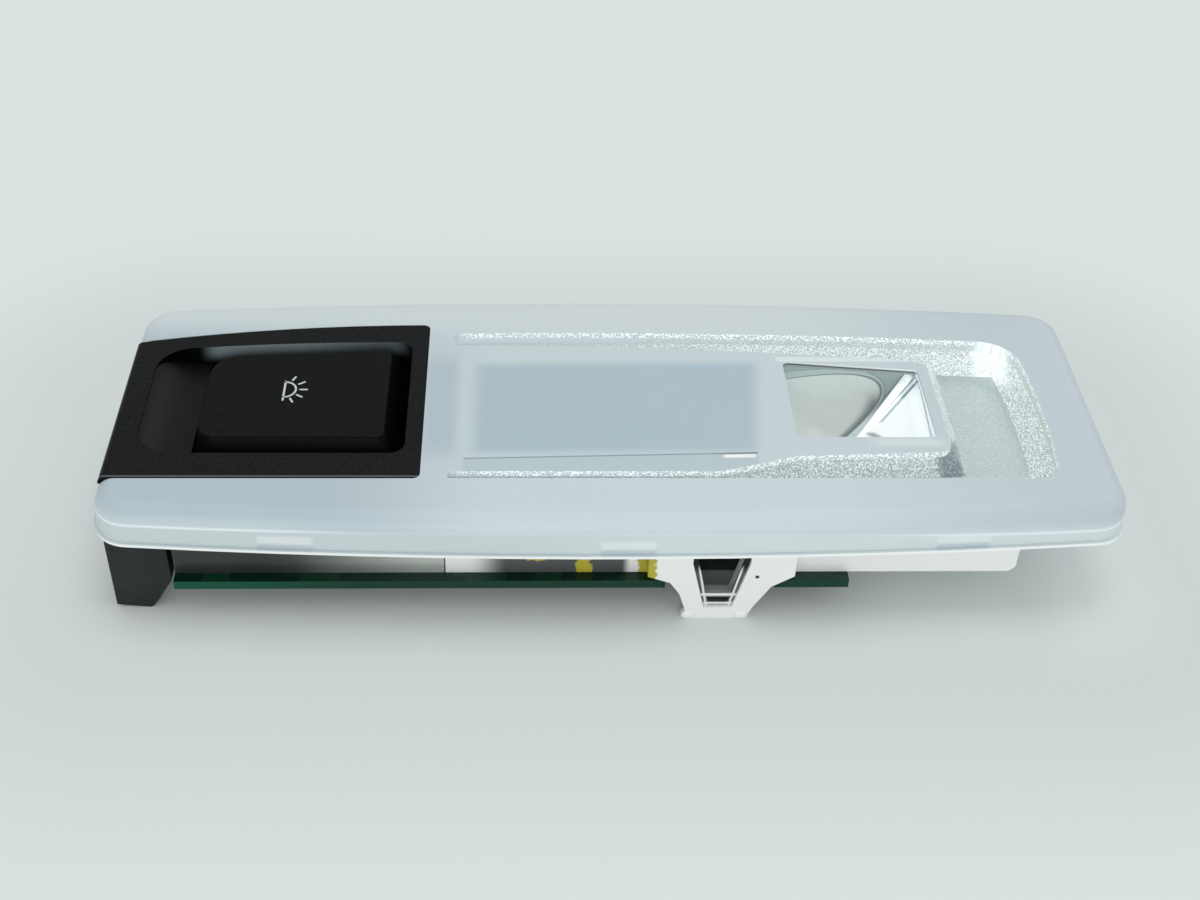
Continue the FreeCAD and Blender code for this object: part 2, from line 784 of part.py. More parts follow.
def make_clear_window():
    """Clear second shot: a plate under the light field, with the band and the spot window raised."""
    body = new_body("clear_window")
    gap = mould_gap
    plate = outline(body, "plate", plate_z, window_outline(gap))
    pad(body, plate, lens_plate)
    rear, front = window_corners(gap)
    rounded(body, window_rear_corner - gap, rear, name="rear_corner")
    rounded(body, window_front_corner - gap, front, name="front_corner")
    field = outline(body, "field", top_z, field_outline(gap))
    pocket(body, field, clear_film)
    round_field(body, gap)
    spot = outline(body, "spot", film_z, spot_outline(-gap))
    pad(body, spot, clear_film)
    rounded(body, spot_corner, between(film_z, top_z, spot_edges(-gap)), name="spot_corners")
    nodes["clear_window"] = body


def make_switch_bezel():
    """Switch panel: a thin plate with a deep well and a finger dish at its left."""
    body = new_body("bezel_block")
    base = outline(body, "plate", top_z - bezel_plate, bezel_plate_outline())
    pad(body, base, bezel_plate)
    rear_right = top_half_depth - bezel_rear_band
    right_corner = near([(bezel_right, front_edge), (bezel_right, rear_right)], 0.5)
    rounded(body, bezel_corner, right_corner, name="corners")
    left_edge = level(top_z, (left_end - 1, left_end + 1, -half_depth, half_depth))
    rounded(body, bezel_end_edge, left_edge, name="end_edge")
    collar = outline(body, "collar", top_z - bezel_plate, well_outline(well_wall))
    pad(body, collar, well_depth - bezel_plate, back=True)
    left, right = well_corners(well_wall)
    rounded(body, well_big_corner + well_wall, left, name="collar_left")
    rounded(body, well_small_corner + well_wall, right, name="collar_right")
    room = new_body("well_room")
    floor = top_z - well_depth - 1
    well = outline(room, "well", floor, well_outline(0))
    pad(room, well, well_depth + 2)
    left, right = well_corners(0)
    rounded(room, well_big_corner, left, name="well_left")
    rounded(room, well_small_corner, right, name="well_right")
    over = new_body("dish_room")
    dish_x1 = well_x0 + dish_length
    dish = outline(
        over,
        "dish",
        half_depth,
        [
            (well_x0 - 1, top_z + 1),
            (well_x0 - 1, top_z - dish_lip),
            (well_x0, top_z - dish_lip, dish_bow),
            (dish_x1, top_z - dish_depth),
            (dish_x1, floor),
            (well_x1 + 1, floor),
            (well_x1 + 1, top_z + 1),
        ],
        "XZ_Plane",
    )
    pad(over, dish, lens_depth, back=True)
    void = common("well_void", [room, over])
    bore = new_body("pivot_bores")
    hole = ring(bore, "hole", pivot_x, pivot_z, pivot_radius + pivot_play, half_depth, "XZ_Plane")
    pad(bore, hole, lens_depth, back=True)
    nodes["switch_bezel"] = cut("switch_bezel", body, joined("bezel_cuts", [void, bore]))


def bezel_plate_outline():
    rear_right = top_half_depth - bezel_rear_band
    return [
        (left_end, front_edge),
        (bezel_right, front_edge),
        (bezel_right, rear_right, bezel_rear_bow),
        (left_end, rear_right - bezel_rear_drop),
    ]


pivot_x = well_x1 - pivot_inset
pivot_z = top_z - well_depth + pivot_height
key_top = top_z + key_proud
key_bottom = top_z - well_depth + key_skirt
key_x0 = well_x0 + dish_length + key_side_gap
key_x1 = well_x1 - key_side_gap
key_y0 = well_y0 + key_side_gap
key_y1 = well_y1 - key_side_gap
key_rear_fall = well_rear_drop * (key_x1 - key_x0) / (well_x1 - well_x0)
tact_x = pivot_x - tact_arm
tact_y = key_y0 + tact_from_front


def key_outline(front, right, rear, left):
    """The key's outline at its foot, drawn in by its own measure on each side."""
    return [
        (key_x0 + left, key_y0 + front),
        (key_x1 - right, key_y0 + front),
        (key_x1 - right, key_y1 - rear),
        (key_x0 + left, key_y1 - key_rear_fall - rear),
    ]


def lean_key(body, corners, low, high, hollow=False):
    """Leans the key's flanks one by one, each by its own slope. The hollow's left end stays upright."""
    rise = key_top - key_bottom
    slopes = [key_slope_front, key_slope_right, key_slope_rear, key_slope_left]
    for number, run in enumerate(slopes[:3] if hollow else slopes):
        x0, y0 = corners[number]
        x1, y1 = corners[(number + 1) % len(corners)]
        foot = V(((x0 + x1) / 2).value, ((y0 + y1) / 2).value, Size.of(high if hollow else low).value)
        lean(body, slope(run, rise), low, high, hollow, foot)


def make_press_key():
    """Key: a hollow cap with sloped flanks, two pivot stubs and a pusher."""
    body = new_body("press_key")
    rise = key_top - key_bottom
    foot = outline(body, "foot", key_bottom, key_outline(0, 0, 0, 0))
    pad(body, foot, rise)
    lean_key(body, key_outline(0, 0, 0, 0), key_bottom, key_top)
    rounded(body, key_big_corner, near([(key_x0, key_y1 - key_rear_fall)]), name="rear_left_corner")
    rounded(body, key_front_corner, near([(key_x0, key_y0)]), name="front_left_corner")
    rounded(body, key_small_corner, near([(key_x1, key_y0), (key_x1, key_y1)]), name="right_corners")
    rounded(body, key_edge, level(key_top), name="crest_edge")
    share = (rise - key_wall) / rise
    room = key_outline(key_wall + key_slope_front * share, key_wall + key_slope_right * share,
                       key_wall + key_slope_rear * share, key_wall + key_slope_left * share)
    front_left, front_right, rear_right, rear_left = room
    room = [front_left, front_right, rear_right, (rear_left[0] + key_corner_cut, rear_left[1]),
            (rear_left[0], rear_left[1] - key_corner_cut)]
    hollow = outline(body, "hollow", key_bottom, room)
    pocket(body, hollow, rise - key_wall, back=True)
    lean_key(body, room, key_bottom, key_top - key_wall, hollow=True)
    rib = outline(body, "pusher", pusher_z,
                  block(tact_x - pusher_width / 2, tact_x + pusher_width / 2,
                        tact_y - pusher_length / 2, tact_y + pusher_length / 2))
    pad(body, rib, key_top - key_wall / 2 - pusher_z)
    front = ring(body, "front_stub", pivot_x, pivot_z, pivot_radius, -(well_y0 - pivot_engage), "XZ_Plane")
    pad(body, front, pivot_engage + key_side_gap + stub_root, back=True)
    rear_wall = well_y1 - well_rear_drop * (pivot_inset / (well_x1 - well_x0))
    rear = ring(body, "rear_stub", pivot_x, pivot_z, pivot_radius, -(rear_wall + pivot_engage), "XZ_Plane")
    pad(body, rear, pivot_engage + key_side_gap + stub_root)
    nodes["press_key"] = body


tact_top = board_top + tact_body_height
plunger_top = tact_top + tact_plunger_height
pusher_z = plunger_top + pusher_gap


def make_tact_switch():
    """Push switch on the board, with a sliding plunger."""
    half = tact_body_side / 2
    case = box("tact_case", tact_x - half, tact_x + half, tact_y - half, tact_y + half, board_top, tact_top)
    sink = board_top + tact_bore_floor
    bore = post("tact_bore", tact_x, tact_y, tact_plunger_radius + tact_play, sink, tact_top + 1)
    nodes["tact_switch"] = cut("tact_switch", case, bore)
    nodes["tact_plunger"] = post("tact_plunger", tact_x, tact_y, tact_plunger_radius,
                                 board_top + plunger_foot, plunger_top)


tray_x1 = window_right_x + window_bow + tray_rim
flange_y = house_y - flange_set_back
pedestal_top = plate_z
tray_floor = plate_z - tray_floor_depth
tray_bottom = box_top


def pedestal_outline():
    """Top of the tray's raised centre, set back from the light field's edge."""
    back = pedestal_set_back
    return [
        (window_left, field_front_left + back),
        (step_x0, field_front_left + back),
        (step_x1, field_front_middle + back),
        (field_right + pedestal_end, field_front_right + back),
        (field_right + pedestal_end, field_rear_right + pedestal_rear + pedestal_end, field_rear_bow),
        (window_left, field_rear_left + pedestal_rear),
    ]


cup_x0 = spot_x0 - spot_wall
chamber_x0 = window_left + chamber_inset
chamber_x1 = cup_x0 - chamber_to_cup
chamber_y0 = field_front_left + pedestal_set_back + chamber_front_inset
chamber_y1 = field_rear_left - chamber_rear_inset
cup_x1 = spot_x1 + spot_wall
cup_y0 = spot_y0 + pedestal_set_back - spot_wall
cup_y1 = cup_y0 + spot_depth + 2 * spot_wall


def make_reflector_tray():
    """Metallised tray: a basin with sloped sides and a raised centre with two openings."""
    body = new_body("reflector_tray")
    flange = outline(body, "flange", tray_bottom,
                     block(housing_x0, tray_x1, -flange_y, flange_y))
    pad(body, flange, tray_plate)
    rounded(body, lens_corner, near([(tray_x1, -flange_y), (tray_x1, flange_y)], 0.5), name="flange_corners")
    rim = outline(body, "rim", tray_bottom, [
        (housing_x0, front_edge - tray_rim),
        (window_right_x + tray_end_rim, front_edge - tray_rim, window_bow),
        (window_right_x + tray_end_rim, window_rear_y - window_rear_drop + tray_rim, window_bow),
        (housing_x0, window_rear_y + tray_rim),
    ])
    pad(body, rim, plate_z - tray_bottom)
    rim_corner = [(window_right_x + tray_end_rim, front_edge - tray_rim),
                  (window_right_x + tray_end_rim, window_rear_y - window_rear_drop + tray_rim)]
    upright = between(tray_bottom, top_z, near(rim_corner, 0.5))
    rounded(body, window_front_corner + tray_rim, upright, name="rim_corners")
    basin = outline(body, "basin", plate_z, window_outline(-insert_gap))
    pocket(body, basin, tray_floor_depth, taper=-tray_slope)
    pedestal = outline(body, "pedestal", pedestal_top, pedestal_outline())
    pad(body, pedestal, tray_floor_depth, back=True, taper=pedestal_slope)
    chamber = outline(body, "chamber", pedestal_top, block(chamber_x0, chamber_x1, chamber_y0, chamber_y1))
    pocket(body, chamber, plate_z - tray_bottom + 1)
    cup = outline(body, "cup_hole", pedestal_top, [
        (cup_x0 - insert_gap, cup_y0 - insert_gap), (cup_x1 + insert_gap, cup_y0 - insert_gap),
        (cup_x1 + insert_gap, cup_y1 - spot_rear_drop + insert_gap),
        (cup_x0 - insert_gap, cup_y1 + insert_gap)])
    pocket(body, cup, plate_z - tray_bottom + 1)
    nodes["reflector_tray"] = body


def make_area_diffuser():
    """Diffuser plate in the chamber's mouth, on the chamber walls."""
    nodes["area_diffuser"] = box(
        "area_diffuser",
        chamber_x0 + insert_gap, chamber_x1 - insert_gap,
        chamber_y0 + insert_gap, chamber_y1 - insert_gap,
        box_top, box_top + diffuser_plate)


def make_spot_reflector():
    """Spot reflector: a round scoop and a flat facet that meet in a slanting ridge."""
    body = new_body("cup_block")
    foot = outline(body, "outer", board_top, [
        (cup_x0, cup_y0), (cup_x1, cup_y0), (cup_x1, cup_y1 - spot_rear_drop), (cup_x0, cup_y1)])
    pad(body, foot, plate_z - board_top)
    mouth = new_body("cup_mouth")
    mouth_outline = [
        (cup_x0 + spot_wall, cup_y0 + spot_wall), (cup_x1 - spot_wall, cup_y0 + spot_wall),
        (cup_x1 - spot_wall, cup_y1 - spot_rear_drop - spot_wall), (cup_x0 + spot_wall, cup_y1 - spot_wall)]
    rim = outline(mouth, "rim", board_top + cup_floor, mouth_outline)
    pad(mouth, rim, plate_z - board_top)
    rounded(mouth, spot_corner, near(mouth_outline, 0.4), name="corners")
    scoop_axis = doc.addObject("Part::Cylinder", "cup_scoop_axis")
    bind(scoop_axis, "Radius", spot_scoop)
    bind(scoop_axis, "Height", spot_depth * 4)
    tilt = math.radians(spot_scoop_rise.value)
    run = V((ridge_rear_in - ridge_front_in).value, (cup_y1 - cup_y0 + 2).value, 0).normalize()
    along = run * math.cos(tilt) + V(0, 0, math.sin(tilt))
    above = V(spot_lamp_x.value, spot_lamp_y.value,
              (plate_z - spot_scoop_drop).value + spot_scoop.value / math.cos(tilt))
    turn = FreeCAD.Rotation(V(0, 0, 1), along)
    scoop_axis.Placement = FreeCAD.Placement(above - along * spot_depth.value * 2, turn)
    left = new_body("ridge_left")
    ridge_front = cup_x0 + ridge_front_in
    ridge_rear = cup_x0 + ridge_rear_in
    side = outline(left, "side", board_top, [
        (cup_x0 - 1, cup_y0 - 1), (ridge_front, cup_y0 - 1),
        (ridge_rear, cup_y1 + 1), (cup_x0 - 1, cup_y1 + 1)])
    pad(left, side, lens_height * 3)
    scoop = common("cup_scoop", [mouth, scoop_axis, left])
    right = facet_block(ridge_front, ridge_rear)
    facet = common("cup_facet", [mouth, right])
    lamp = post("cup_lamp_hole", spot_lamp_x, spot_lamp_y, spot_lamp_hole,
                board_top - 1, plate_z - spot_scoop_drop + spot_lamp_hole)
    nodes["spot_reflector"] = cut("spot_reflector", body, joined("cup_cuts", [scoop, facet, lamp]))


spot_lamp_x = cup_x0 + spot_lamp_inset
spot_lamp_y = cup_y0 + spot_lamp_inset
board_right = spot_lamp_x + board_past_lamp


def facet_block(ridge_front, ridge_rear):
    """The space over the flat facet, which falls away from the ridge to the right front corner."""
    ridge_z = plate_z - ridge_drop
    low_z = plate_z - facet_drop
    far = cup_x1 + 2
    front = V(ridge_front.value, (cup_y0 - 1).value, 0)
    rear = V(ridge_rear.value, (cup_y1 + 1).value, 0)
    along = (rear - front).normalize()
    across = V(along.y, -along.x, 0)
    run = (cup_x1 - ridge_front).value
    fall = (ridge_z - low_z).value
    corners = [front, front + across * run * 1.6, rear + across * run * 1.6, rear]
    floor = [V(c.x, c.y, ridge_z.value) for c in (corners[0], corners[3])]
    floor[1:1] = [V(c.x, c.y, ridge_z.value - fall * 1.6) for c in (corners[1], corners[2])]
    roof = [V(c.x, c.y, plate_z.value + 2) for c in corners]
    faces = [Part.Face(Part.makePolygon(floor + [floor[0]])), Part.Face(Part.makePolygon(roof + [roof[0]]))]
    for n in range(4):
        m = (n + 1) % 4
        faces.append(Part.Face(Part.makePolygon([floor[n], floor[m], roof[m], roof[n], floor[n]])))
    space = doc.addObject("Part::Feature", "facet_space")
    space.Shape = Part.Solid(Part.Shell(faces))
    return space


tower_x0 = (window_left + window_right_x) / 2 - tower_left
tower_x1 = tower_x0 + tower_width
tower_mid = (tower_x0 + tower_x1) / 2 - tower_foot_shift


def tower_outline():
    """A clip tower from the front: wide at the flange, drawn in to its foot."""
    half = tower_foot / 2
    top = skirt_z - wall_gap
    return [
        (tower_mid - half, 0.0),
        (tower_mid + half, 0.0),
        (tower_mid + half + tower_toe_run, tower_toe_rise),
        (tower_mid + half + tower_right_flare, board_top),
        (tower_x1, board_top + tower_shoulder),
        (tower_x1, top),
        (tower_x0, top),
        (tower_x0, board_top + tower_shoulder),
        (tower_mid - half - tower_left_flare, board_top + tower_left_rise),
        (tower_mid - half - tower_left_toe, board_top - tower_left_drop),
    ]


def window_of_tower():
    """The opening for the clip: narrow at the tower's foot and open at its top."""
    top = skirt_z + 1
    shoulder = skirt_z - clip_window_drop
    return [
        (tower_mid - clip_foot_half, clip_window_low),
        (tower_mid + clip_foot_half, clip_window_low),
        (tower_mid + clip_top_half, shoulder),
        (tower_mid + clip_top_half, top),
        (tower_mid - clip_top_half, top),
        (tower_mid - clip_top_half, shoulder),
    ]


def make_light_housing():
    """Light housing: outer walls, chamber walls and a clip tower front and rear."""
    body = new_body("light_housing")
    x0 = housing_x0
    x1 = housing_x1
    base = outline(body, "walls", board_top, block(x0, x1, -house_y, house_y))
    pad(body, base, box_top - board_top)
    inner = house_y - housing_wall
    ring_y0 = chamber_y0 - chamber_wall
    board_end = board_right + board_end_gap
    bay_x0 = x0 + housing_wall
    bays = {
        "front_bay": (bay_x0, board_end, -inner, ring_y0),
        "rear_bay": (bay_x0, board_end, cup_y1 + insert_gap + housing_wall, inner),
        "chamber": (chamber_x0 + chamber_wall, chamber_x1 - chamber_wall,
                    chamber_y0 + chamber_wall, chamber_y1 - chamber_wall),
        "cup_bay": (cup_x0 - insert_gap, cup_x1 + insert_gap, cup_y0 - insert_gap, cup_y1 + insert_gap),
    }
    for name, edges in bays.items():
        bay = outline(body, name, box_top, block(*edges))
        pocket(body, bay, box_top - board_top + 1)
    past_cup = insert_gap + housing_wall
    end = x1 - housing_wall
    blind = {
        "front_end_bay": (board_end + housing_wall, end, -inner, cup_y0 - past_cup),
        "rear_end_bay": (board_end + housing_wall, end, cup_y1 + past_cup, inner),
        "end_bay": (cup_x1 + past_cup, end, cup_y0 + insert_gap, cup_y1 - insert_gap),
    }
    for name, edges in blind.items():
        bay = outline(body, name, box_top, block(*edges))
        pocket(body, bay, box_top - board_top - housing_wall)
    for side, sign in (("front", -1), ("rear", 1)):
        face = house_y + tower_reach
        height = face if sign < 0 else -face
        tower = outline(body, f"tower_{side}", height, tower_outline(), "XZ_Plane")
        pad(body, tower, tower_reach + housing_wall, back=sign < 0)
        window = outline(body, f"window_{side}", height, window_of_tower(), "XZ_Plane")
        pocket(body, window, tower_reach + housing_wall, back=sign > 0)
    chamfer = outline(body, "end_chamfer", house_y, [
        (x1 - housing_end_edge, board_top - 1), (x1 + 1, board_top - 1),
        (x1 + 1, board_top + housing_end_edge), (x1, board_top + housing_end_edge),
        (x1 - housing_end_edge, board_top)], "XZ_Plane")
    pocket(body, chamfer, house_y * 2)
    gate = outline(body, "socket_gate", box_top, block(
        socket_x0 - insert_gap, socket_x0 + socket_width + insert_gap, inner - 1, house_y + 1))
    pocket(body, gate, box_top - board_top + 1)
    for number, (x, y) in enumerate(screw_places):
        boss = ring(body, f"boss{number}", x, y, screw_shank + boss_wall, board_top)
        pad(body, boss, screw_grip + boss_roof)
        hole = ring(body, f"boss_hole{number}", x, y, screw_shank + mould_gap, board_top)
        pocket(body, hole, screw_grip, back=True)
    nodes["light_housing"] = body


def make_spring_clips():
    """Stamped steel frames in the tower windows."""
    top = skirt_z - clip_top_gap
    for side, sign in (("front", -1), ("rear", 1)):
        body = new_body(f"spring_clip_{side}")
        face = house_y + tower_reach - clip_set_back
        height = face if sign < 0 else -face
        plate = outline(body, "plate", height, clip_outline(mould_gap, clip_window_low, top), "XZ_Plane")
        pad(body, plate, clip_plate, back=sign < 0)
        upper_hole = clip_outline(clip_band, clip_hole_low, top - clip_band)
        upper = outline(body, "upper_hole", height, upper_hole, "XZ_Plane")
        pocket(body, upper, clip_plate, back=sign > 0)
        lower_hole = clip_outline(clip_band, clip_slot_low, clip_slot_high)
        lower = outline(body, "lower_hole", height, lower_hole, "XZ_Plane")
        pocket(body, lower, clip_plate, back=sign > 0)
        nodes[body.Label] = body


def clip_outline(gap, low, high):
    """A slice of the tower's window between two heights, drawn in by gap at its sides."""
    shoulder_z = skirt_z - clip_window_drop
    flare = (clip_top_half - clip_foot_half) / (shoulder_z - clip_window_low)
    low_half = clip_foot_half + flare * (low - clip_window_low) - gap
    if high.value > shoulder_z.value:
        high_half = clip_top_half - gap
        shoulder = [(tower_mid + high_half, shoulder_z), (tower_mid + high_half, high),
                    (tower_mid - high_half, high), (tower_mid - high_half, shoulder_z)]
    else:
        high_half = clip_foot_half + flare * (high - clip_window_low) - gap
        shoulder = [(tower_mid + high_half, high), (tower_mid - high_half, high)]
    return [(tower_mid - low_half, low), (tower_mid + low_half, low)] + shoulder


light_box_x1 = housing_x0 - seam_gap
light_box_x0 = board_x0


def make_left_light_box():
    """Metallised side walls beside the switch, joined by a floor frame on the board."""
    body = new_body("left_light_box")
    top = skirt_z - wall_gap
    base = outline(body, "walls", board_top, block(light_box_x0, light_box_x1, -house_y, house_y))
    pad(body, base, top - board_top)
    opening = outline(body, "opening", top, block(
        light_box_x0 - 1, light_box_x1 - box_wall, -house_y + box_wall, house_y - box_wall))
    pocket(body, opening, top - board_top + 1)
    nodes["left_light_box"] = body


switch_x0 = lens_wall + switch_gap - half_length
switch_x1 = light_box_x1 - box_wall - insert_gap


def make_switch_housing():
    """Black switch housing: a box under the key's well, and a leg at each left corner."""
    body = new_body("switch_housing")
    y0 = well_y0 - well_wall
    y1 = well_y1 + well_wall
    top = top_z - well_depth
    base = outline(body, "box", board_top, block(switch_x0, switch_x1, y0, y1))
    pad(body, base, top - board_top)
    wall = box_wall
    inside = outline(body, "inside", top, block(switch_x0 + wall, switch_x1 - wall, y0 + wall, y1 - wall))
    pocket(body, inside, top - board_top + 1)
    leg_top = skirt_z - wall_gap
    leg_x1 = switch_x0 + leg_width
    for side, sign in (("front", -1), ("rear", 1)):
        face = house_y + leg_proud
        height = face if sign < 0 else -face
        leg = outline(body, f"leg_{side}", height, [
            (switch_x0, leg_toe),
            (switch_x0 + leg_foot - leg_toe, 0.0),
            (switch_x0 + leg_foot, leg_toe_rise),
            (leg_x1 - wall_gap, board_z + leg_toe_rise),
            (leg_x1 - wall_gap, leg_top),
            (switch_x0, leg_top),
        ], "XZ_Plane")
        pad(body, leg, leg_plate, back=sign < 0)
        low = -house_y + leg_plate / 2 if sign < 0 else y1 - wall
        high = y0 + wall if sign < 0 else house_y - leg_plate / 2
        web = outline(body, f"web_{side}", board_top, block(switch_x0, switch_x0 + wall, low, high))
        pad(body, web, leg_top - board_top)
    nodes["switch_housing"] = body


def make_circuit_board():
    """Circuit board with notches for the towers and holes for the screws."""
    body = new_body("circuit_board")
    half = board_half
    gap = tower_notch_gap
    notch_y = house_y - housing_wall - gap
    left = tower_x0 + board_notch_left
    right = tower_x1 - board_notch_right
    base = outline(body, "plate", board_z, [
        (board_x0, -half), (left, -half), (left, -notch_y),
        (right, -notch_y), (right, -half), (board_right, -half),
        (board_right, half), (right, half), (right, notch_y),
        (left, notch_y), (left, half), (board_x0, half)])
    pad(body, base, board_plate)
    for number, (x, y) in enumerate(screw_places):
        hole = ring(body, f"screw_hole{number}", x, y, screw_shank + screw_hole_gap, board_top)
        pocket(body, hole, board_plate + 1)
    nodes["circuit_board"] = body


screw_places = [
    (window_left + screw_inset, -(house_y - housing_wall - screw_from_wall)),
    (window_left + screw_inset, house_y - housing_wall - screw_from_wall),
    (board_right - screw_from_end, house_y - housing_wall - screw_from_wall),
]


def make_board_screws():
    """Screws that hold the board under the housing."""
    screws = []
    for number, (x, y) in enumerate(screw_places):
        shank = post(f"screw_shank{number}", x, y, screw_shank, board_z, board_z + screw_grip)
        head = post(f"screw_head{number}", x, y, screw_head, board_z - screw_head_height, board_z)
        screws.append(joined(f"screw{number}", [shank, head]))
    nodes["board_screws"] = group("board_screws", screws)


def make_lamps():
    """LEDs on the board: a row for the area light, one for the spot and one for the symbol."""
    middle_x = (chamber_x0 + chamber_x1) / 2
    middle_y = (chamber_y0 + chamber_y1) / 2
    lamp_spacing = (chamber_x1 - chamber_x0 - 2 * lamp_margin) / 4
    row = []
    for number in range(-2, 3):
        x = middle_x + number * lamp_spacing
        row.append(box(f"area_led{number + 2}", x - lamp_length / 2, x + lamp_length / 2,
                       middle_y - lamp_width / 2, middle_y + lamp_width / 2,
                       board_top, board_top + lamp_height))
    nodes["area_leds"] = group("area_leds", row)
    base = box("spot_led_base", spot_lamp_x - lamp_length / 2, spot_lamp_x + lamp_length / 2,
               spot_lamp_y - lamp_length / 2, spot_lamp_y + lamp_length / 2,
               board_top, board_top + lamp_height)
    dome = post("spot_led_dome", spot_lamp_x, spot_lamp_y, lamp_dome, board_top, board_top + lamp_height * 2)
    nodes["spot_led"] = joined("spot_led", [base, dome])
    nodes["symbol_led"] = box("symbol_led", icon_x - symbol_lamp_length / 2, icon_x + symbol_lamp_length / 2,
                              icon_y - symbol_lamp_width / 2, icon_y + symbol_lamp_width / 2,
                              board_top, board_top + lamp_height)
    foot_z = board_top + lamp_height
    pipe_foot = post("pipe_foot", icon_x, icon_y, pipe_foot_radius, foot_z, foot_z + pipe_foot_height)
    stem_top = top_z - well_depth + pipe_past_box
    pipe_stem = post("pipe_stem", icon_x, icon_y, pipe_stem_radius, foot_z, stem_top)
    nodes["light_pipe"] = joined("light_pipe", [pipe_foot, pipe_stem])


icon_x = key_x0 + icon_from_left
icon_y = tact_y + icon_past_tact


def chip(label, x, middle_y, length, width, height):
    """A flat part on the board, from its left end x."""
    y0 = middle_y - width / 2
    return box(label, x, x + length, y0, y0 + width, board_top, board_top + height)


def make_board_parts():
    """Driver, transistor, resistors, capacitors and diode on the board's top, in the bays."""
    front = -(house_y - housing_wall - parts_from_wall)
    rear = (cup_y1 + insert_gap + house_y) / 2
    chip_x = window_left + parts_from_left
    transistor_x = chip_x + chip_case + parts_space
    diode_x = transistor_x + transistor_length + parts_space
    resistor_x = diode_x + diode_length + parts_space
    nodes["driver_chip"] = chip("driver_chip", chip_x, front, chip_case, chip_width, chip_height)
    nodes["power_transistor"] = chip("power_transistor", transistor_x, front,
                                     transistor_length, transistor_width, transistor_height)
    nodes["protection_diode"] = chip("protection_diode", diode_x, front,
                                     diode_length, diode_width, diode_height)
    nodes["resistors"] = group("resistors", [
        chip(f"resistor{n}", resistor_x + n * resistor_pitch, front,
             resistor_length, resistor_width, resistor_height) for n in range(4)])
    cans = [post(f"capacitor{n}", board_right - capacitor_inset - n * capacitor_pitch, rear, capacitor_radius,
                 board_top, board_top + capacitor_height) for n in range(2)]
    nodes["capacitors"] = group("capacitors", cans)


socket_x0 = window_left + socket_from_left


def make_socket():
    """Harness socket at the rear edge of the board, open to the rear."""
    x0 = socket_x0
    x1 = x0 + socket_width
    y1 = board_half
    y0 = y1 - socket_reach
    top = box_top - socket_roof_gap
    wall = socket_wall
    shell = box("socket_block", x0, x1, y0, y1, board_top, top)
    room = box("socket_room", x0 + wall, x1 - wall, y0 + socket_back, y1 + 1, board_top + wall, top - wall)
    nodes["connector_shell"] = cut("connector_shell", shell, room)
    middle = (x0 + x1) / 2
    pin_z = (board_top + top) / 2
    pins = []
    for number in range(4):
        x = middle + (number - 1.5) * pin_spacing
        pins.append(box(f"pin{number}", x - pin_side / 2, x + pin_side / 2,
                        y0 + socket_back, y1 - pin_set_back,
                        pin_z - pin_side / 2, pin_z + pin_side / 2))
    nodes["connector_pins"] = group("connector_pins", pins)


make_lens_frame()
make_clear_window()
make_switch_bezel()
make_press_key()
make_tact_switch()
make_reflector_tray()
make_area_diffuser()
make_spot_reflector()
make_light_housing()
make_spring_clips()
make_left_light_box()
make_switch_housing()
make_circuit_board()
make_board_screws()
make_lamps()
make_board_parts()
make_socket()
doc.recompute()

for item in doc.Objects:
    if "Invalid" in item.State or "Error" in item.State:
        raise ValueError(f"{item.Label} failed: {item.State}")
for name, item in nodes.items():
    if item.Shape.isNull() or not item.Shape.isValid():
        raise ValueError(f"{name} has no valid shape")

os.makedirs("parts", exist_ok=True)
for name, item in nodes.items():
    item.Shape.exportStep(os.path.join("parts", f"{name}.step"))
    box_of = item.Shape.BoundBox
    print(f"{name}: {len(item.Shape.Solids)} solid(s), {item.Shape.Volume:.0f} mm3,",
          f"x {box_of.XMin:.1f}..{box_of.XMax:.1f}, y {box_of.YMin:.1f}..{box_of.YMax:.1f},",
          f"z {box_of.ZMin:.1f}..{box_of.ZMax:.1f}")
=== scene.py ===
# %% [markdown]
# # A car dome light
#
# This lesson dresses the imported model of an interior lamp: a milky lens frame, a black switch
# panel with one key, and a clear window over a silver reflector. The solids come from the CAD
# frame and stay where they are. Blender adds their finishes and the small pieces that the solids
# leave out.

import math

import bpy
import numpy as np
from mathutils import Matrix


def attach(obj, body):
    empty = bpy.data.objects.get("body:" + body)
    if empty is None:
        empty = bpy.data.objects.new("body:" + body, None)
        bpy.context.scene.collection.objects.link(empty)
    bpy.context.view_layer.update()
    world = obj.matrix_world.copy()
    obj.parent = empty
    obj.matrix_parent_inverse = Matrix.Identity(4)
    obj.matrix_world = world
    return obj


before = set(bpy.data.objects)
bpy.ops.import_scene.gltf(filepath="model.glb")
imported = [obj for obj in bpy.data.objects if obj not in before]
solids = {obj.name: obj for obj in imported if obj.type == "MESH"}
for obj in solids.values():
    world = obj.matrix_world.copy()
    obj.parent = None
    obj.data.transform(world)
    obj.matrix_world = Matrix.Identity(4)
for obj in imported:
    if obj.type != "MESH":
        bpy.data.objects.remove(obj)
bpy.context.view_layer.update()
MM = 0.001

# %% [markdown]
# ## Shader sums as Python sums
#
# A finish is worked out from the place of each point on the part. Wiring every Math node by hand
# hides the idea, so one small class wraps a socket and lets plain +, -, * and / add the nodes.
# Everything else goes through one method, `node`, which takes the node's settings first and then
# what goes into its sockets.

# %% A socket that can be added and multiplied


